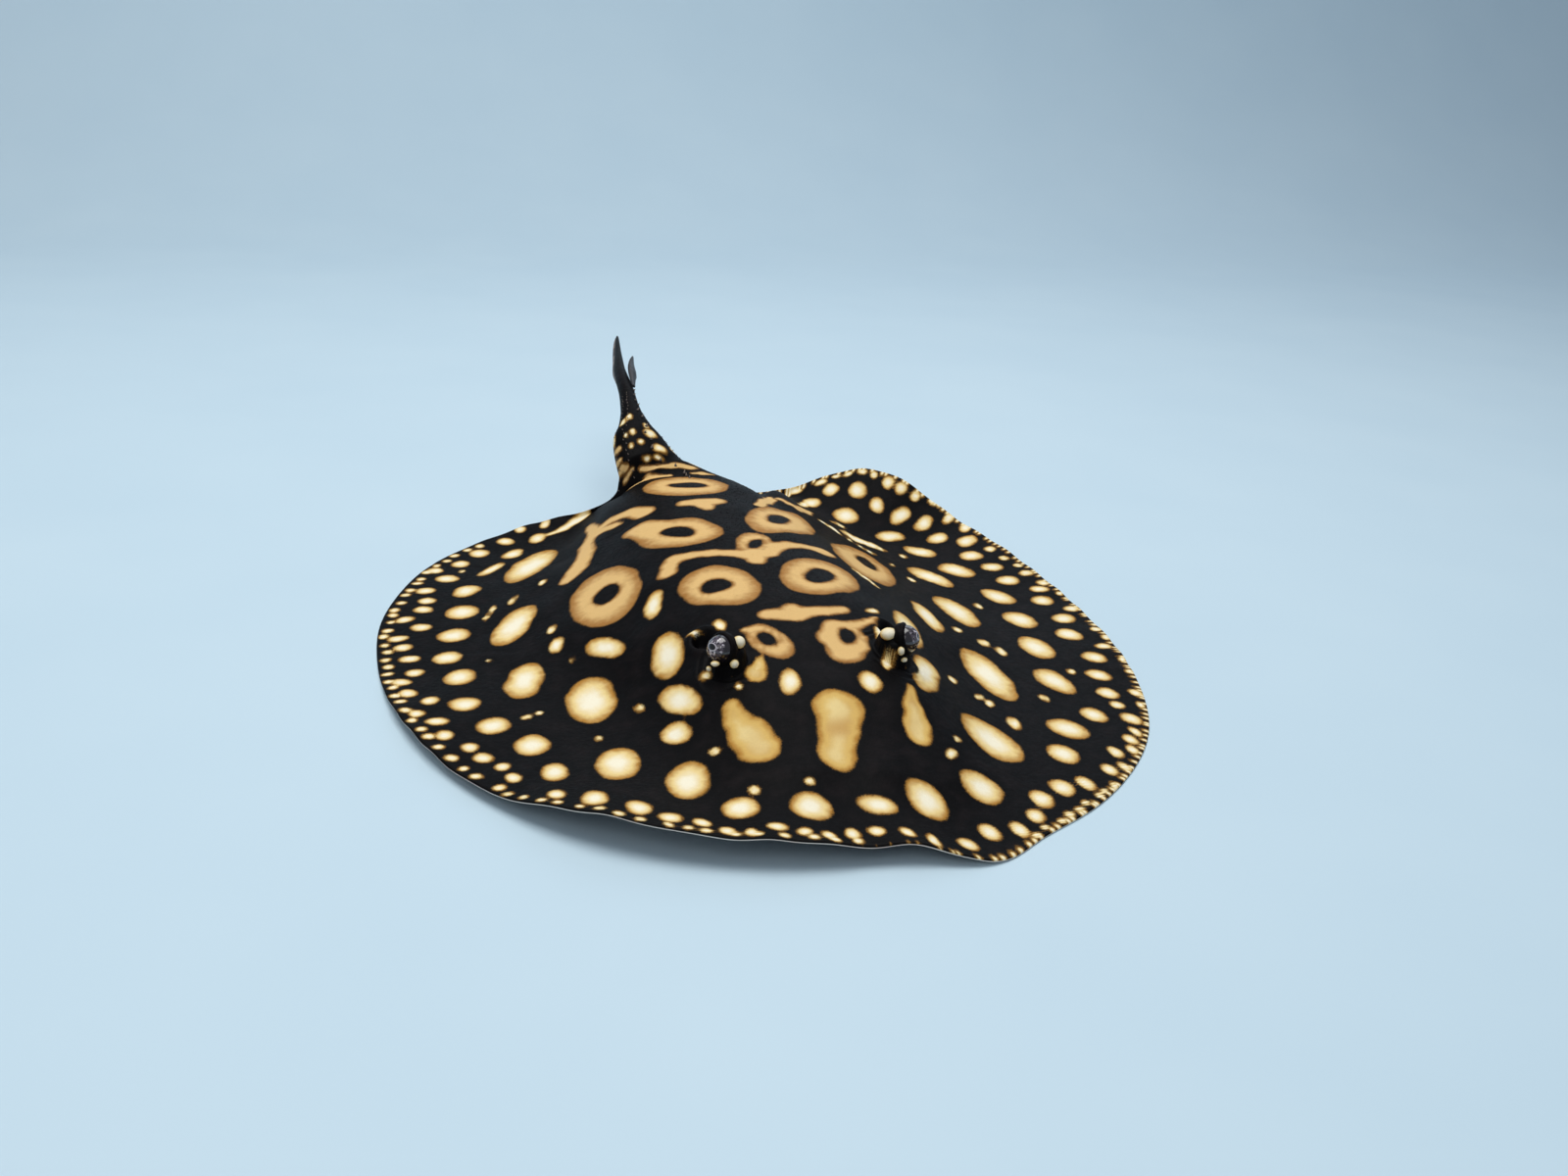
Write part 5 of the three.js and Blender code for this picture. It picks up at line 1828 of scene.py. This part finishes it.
@dataclass(frozen=True)
class Denticles:
    """Tiny hard points that roughen the middle of the back and the tail, coloured as the skin."""

    count: int = 3800
    area: float = 27000.0  # of the roughened skin, in square millimetres
    height: float = 0.26
    radius: float = 0.34
    size_range: tuple[float, float] = (0.6, 1.25)
    map_span: tuple[float, float] = (600.0, 900.0)  # millimetres that the bake map covers
    map_middle: tuple[float, float] = (0.5, 0.4)
    map_patch: float = 0.0015  # half width of one denticle's patch on the map
    seed: int = 11

    def tree(self) -> Tree:
        """Returns the tree that scatters the points over the roughened skin."""
        kinds = (("Material", "NodeSocketMaterial"), ("Density", "NodeSocketFloat"),
                 ("Height", "NodeSocketFloat"), ("Radius", "NodeSocketFloat"), ("Seed", "NodeSocketInt"))
        tree = Tree("back_denticles", kinds)
        seed, radius = tree.taken["Seed"], tree.taken["Radius"]
        scattered = tree.node(
            "GeometryNodeDistributePointsOnFaces", {"distribute_method": "RANDOM"},
            Mesh=tree.taken["Geometry"], Seed=seed,
            Density=tree.math("MULTIPLY", tree.taken["Density"], tree.named("rough")),
        )
        cone = tree.node(
            "GeometryNodeMeshCone", {"fill_type": "NONE"}, Vertices=6, Side_Segments=1,
            Radius_Top=tree.math("MULTIPLY", radius, 0.12), Radius_Bottom=radius,
            Depth=tree.taken["Height"],
        )
        tagged = tree.node(
            "GeometryNodeStoreNamedAttribute", {"data_type": "FLOAT_VECTOR", "domain": "POINT"},
            Geometry=cone.outputs["Mesh"], Name="local",
            Value=tree.node("GeometryNodeInputPosition").outputs[0],
        )
        size = tree.node("FunctionNodeRandomValue", {"data_type": "FLOAT"}, Seed=seed)
        for place, value in zip((2, 3), self.size_range):
            tree.feed(size.inputs[place], value)
        tree.stand(
            scattered.outputs["Points"], tagged.outputs[0], scattered.outputs["Rotation"],
            size.outputs[1],
        )
        return tree

    def build(self, skin: bpy.types.Object, material: bpy.types.Material) -> bpy.types.Object:
        """Returns the denticles as one piece.

        Args:
            skin: The finished skin.
            material: The skin's finish.

        Returns:
            The piece, with its bake map.
        """
        ground = added("denticle_ground", skin.data.copy())
        mesh = ground.data
        places = np.empty(len(mesh.vertices) * 3, np.float32)
        mesh.vertices.foreach_get("co", places)
        x, y, _ = (places.reshape(-1, 3) / UNIT).T
        upper = read(mesh, "upper") > 0.5
        join = read(mesh, "join")
        band = np.exp(-((x / 44.0) ** 4)) * smooth(y, -100, -40)
        rough = np.where(upper, np.maximum(band * (1 - join), join * smooth(y, 300, 250)), 0.0)
        store(mesh, "rough", rough)
        store(mesh, "map_u", x / self.map_span[0] + self.map_middle[0])
        store(mesh, "map_v", y / self.map_span[1] + self.map_middle[1])
        area = self.area * UNIT * UNIT
        piece = self.tree().grow(
            ground, "back_denticles", Material=material, Density=self.count / area,
            Height=self.height * UNIT, Radius=self.radius * UNIT, Seed=self.seed,
        )
        self.map(piece.data)
        return piece

    def map(self, mesh: bpy.types.Mesh) -> None:
        """Gives each denticle a small patch of the bake map at its root."""
        local = np.empty(len(mesh.vertices) * 3, np.float32)
        mesh.attributes["local"].data.foreach_get("vector", local)
        spread = local.reshape(-1, 3)[:, :2] / (self.radius * UNIT) * self.map_patch
        root = np.stack([read(mesh, "map_u"), read(mesh, "map_v")], -1)
        corners = np.empty(len(mesh.loops), np.int32)
        mesh.loops.foreach_get("vertex_index", corners)
        layer = mesh.uv_layers.new(name="OFBake")
        layer.data.foreach_set("uv", (root + spread)[corners].astype(np.float32).reshape(-1))


# ------------------------------------------------------------------ studio
@dataclass(frozen=True)
class Studio:
    """Floor, lights and camera."""

    camera_place: tuple = (-232.9, -801.9, 351.2)
    heading: float = 17.544  # degrees, as are pitch and roll
    pitch: float = 20.843
    roll: float = 3.899
    lens: float = 33.18
    sensor: float = 36.0
    floor_half: float = 2600.0
    floor_wide: float = 1.6
    floor_back: float = 1500.0
    cove: float = 900.0
    cove_turn: float = 80.0
    lamps: tuple = (  # name, place in metres, size, power, colour
        ("overhead", (-0.15, 0.3, 2.4), 1.8, 46.0, (1.0, 0.99, 0.96)),
        ("behind", (1.6, 2.9, 2.4), 2.2, 16.0, (0.8, 0.9, 1.0)),
        ("front", (-1.1, -1.6, 1.5), 1.2, 5.0, (1.0, 0.98, 0.94)),
    )
    aim: tuple = (0.0, 0.0, 0.02)
    air: tuple = (0.78, 0.87, 1.0, 1.0)
    air_power: float = 0.3

    def camera(self) -> None:
        """Sets the camera."""
        a, p, r = (math.radians(v) for v in (self.heading, self.pitch, self.roll))
        right = Vector((math.cos(a), -math.sin(a), 0.0))
        forward = Vector((math.sin(a) * math.cos(p), math.cos(a) * math.cos(p), -math.sin(p)))
        up = Vector((math.sin(a) * math.sin(p), math.cos(a) * math.sin(p), math.cos(p)))
        side = right * math.cos(r) + up * math.sin(r)
        top = up * math.cos(r) - right * math.sin(r)
        turn = Matrix((side, top, -forward)).transposed().to_4x4()
        data = bpy.data.cameras.new("camera")
        data.lens = self.lens
        data.sensor_width = self.sensor
        data.clip_start = 0.01
        camera = added("camera", data)
        camera.matrix_world = Matrix.Translation(Vector(self.camera_place) * UNIT) @ turn
        bpy.context.scene.camera = camera

    def floor(self) -> None:
        """Makes the floor, which curves up far behind the animal."""
        turn = np.radians(np.linspace(0, self.cove_turn, 17))
        y = np.concatenate([[-self.floor_half], self.floor_back + self.cove * np.sin(turn)])
        z = np.concatenate([[0.0], self.cove * (1 - np.cos(turn))])
        half = self.floor_half * self.floor_wide
        points = np.array([(x, b, c) for b, c in zip(y, z) for x in (-half, half)])
        faces = [[2 * i, 2 * i + 1, 2 * i + 3, 2 * i + 2] for i in range(len(y) - 1)]
        floor = Raw(points, faces).build("floor", FloorFinish().make())

    def light(self, name: str, place: tuple, size: float, power: float, colour: tuple) -> None:
        """Adds a square soft light that faces the animal."""
        data = bpy.data.lights.new(name, "AREA")
        data.size = size
        data.energy = power
        data.color = colour
        lamp = added(name, data)
        lamp.location = place
        way = Vector(self.aim) - Vector(place)
        lamp.rotation_euler = way.to_track_quat("-Z", "Y").to_euler()

    def lights(self) -> None:
        """Sets soft overhead light, a cool light from behind and a weak fill from the front."""
        for lamp in self.lamps:
            self.light(*lamp)
        world = bpy.data.worlds.new("air")
        world.use_nodes = True
        background = world.node_tree.nodes["Background"]
        background.inputs[0].default_value = self.air
        background.inputs[1].default_value = self.air_power
        bpy.context.scene.world = world
        bpy.context.scene.view_settings.view_transform = "Standard"

    def build(self) -> None:
        """Makes everything that isn't the animal."""
        self.camera()
        self.floor()
        self.lights()


def main() -> None:
    """Builds the ray and the studio, and fixes each piece to the frame."""
    logging.basicConfig(level=logging.INFO, format="%(name)s: %(message)s")
    Studio().build()
    skin = Skin()
    raw = skin.build()
    eyes = (Eye(-1), Eye(1))
    for eye in eyes:
        raw = raw.join(eye.folds())
    for *place, wide, tall in skin.head.warts:
        raw = raw.join(skin.head.wart(place, wide, tall))
    for hand in (-1, 1):
        raw = raw.join(PelvicFin(hand).build())
    finish = SkinFinish().make()
    hide = raw.build("skin", finish)
    settle(
        hide, "back_skin", "head", "trunk", "pectoral_fin_left", "pectoral_fin_right",
        "pelvic_fin_left", "pelvic_fin_right", "tail_base", "tail_middle", "tail_tip",
    )
    settle(Denticles().build(hide, finish), "back_skin")
    settle(Thorns().build(skin.ribs()), "tail_skin")
    settle(Sting().build(), "sting_bone", "tail_sting")
    for eye in eyes:
        settle(eye.ball(), "eye", eye.node)


if __name__ == "__main__":
    main()
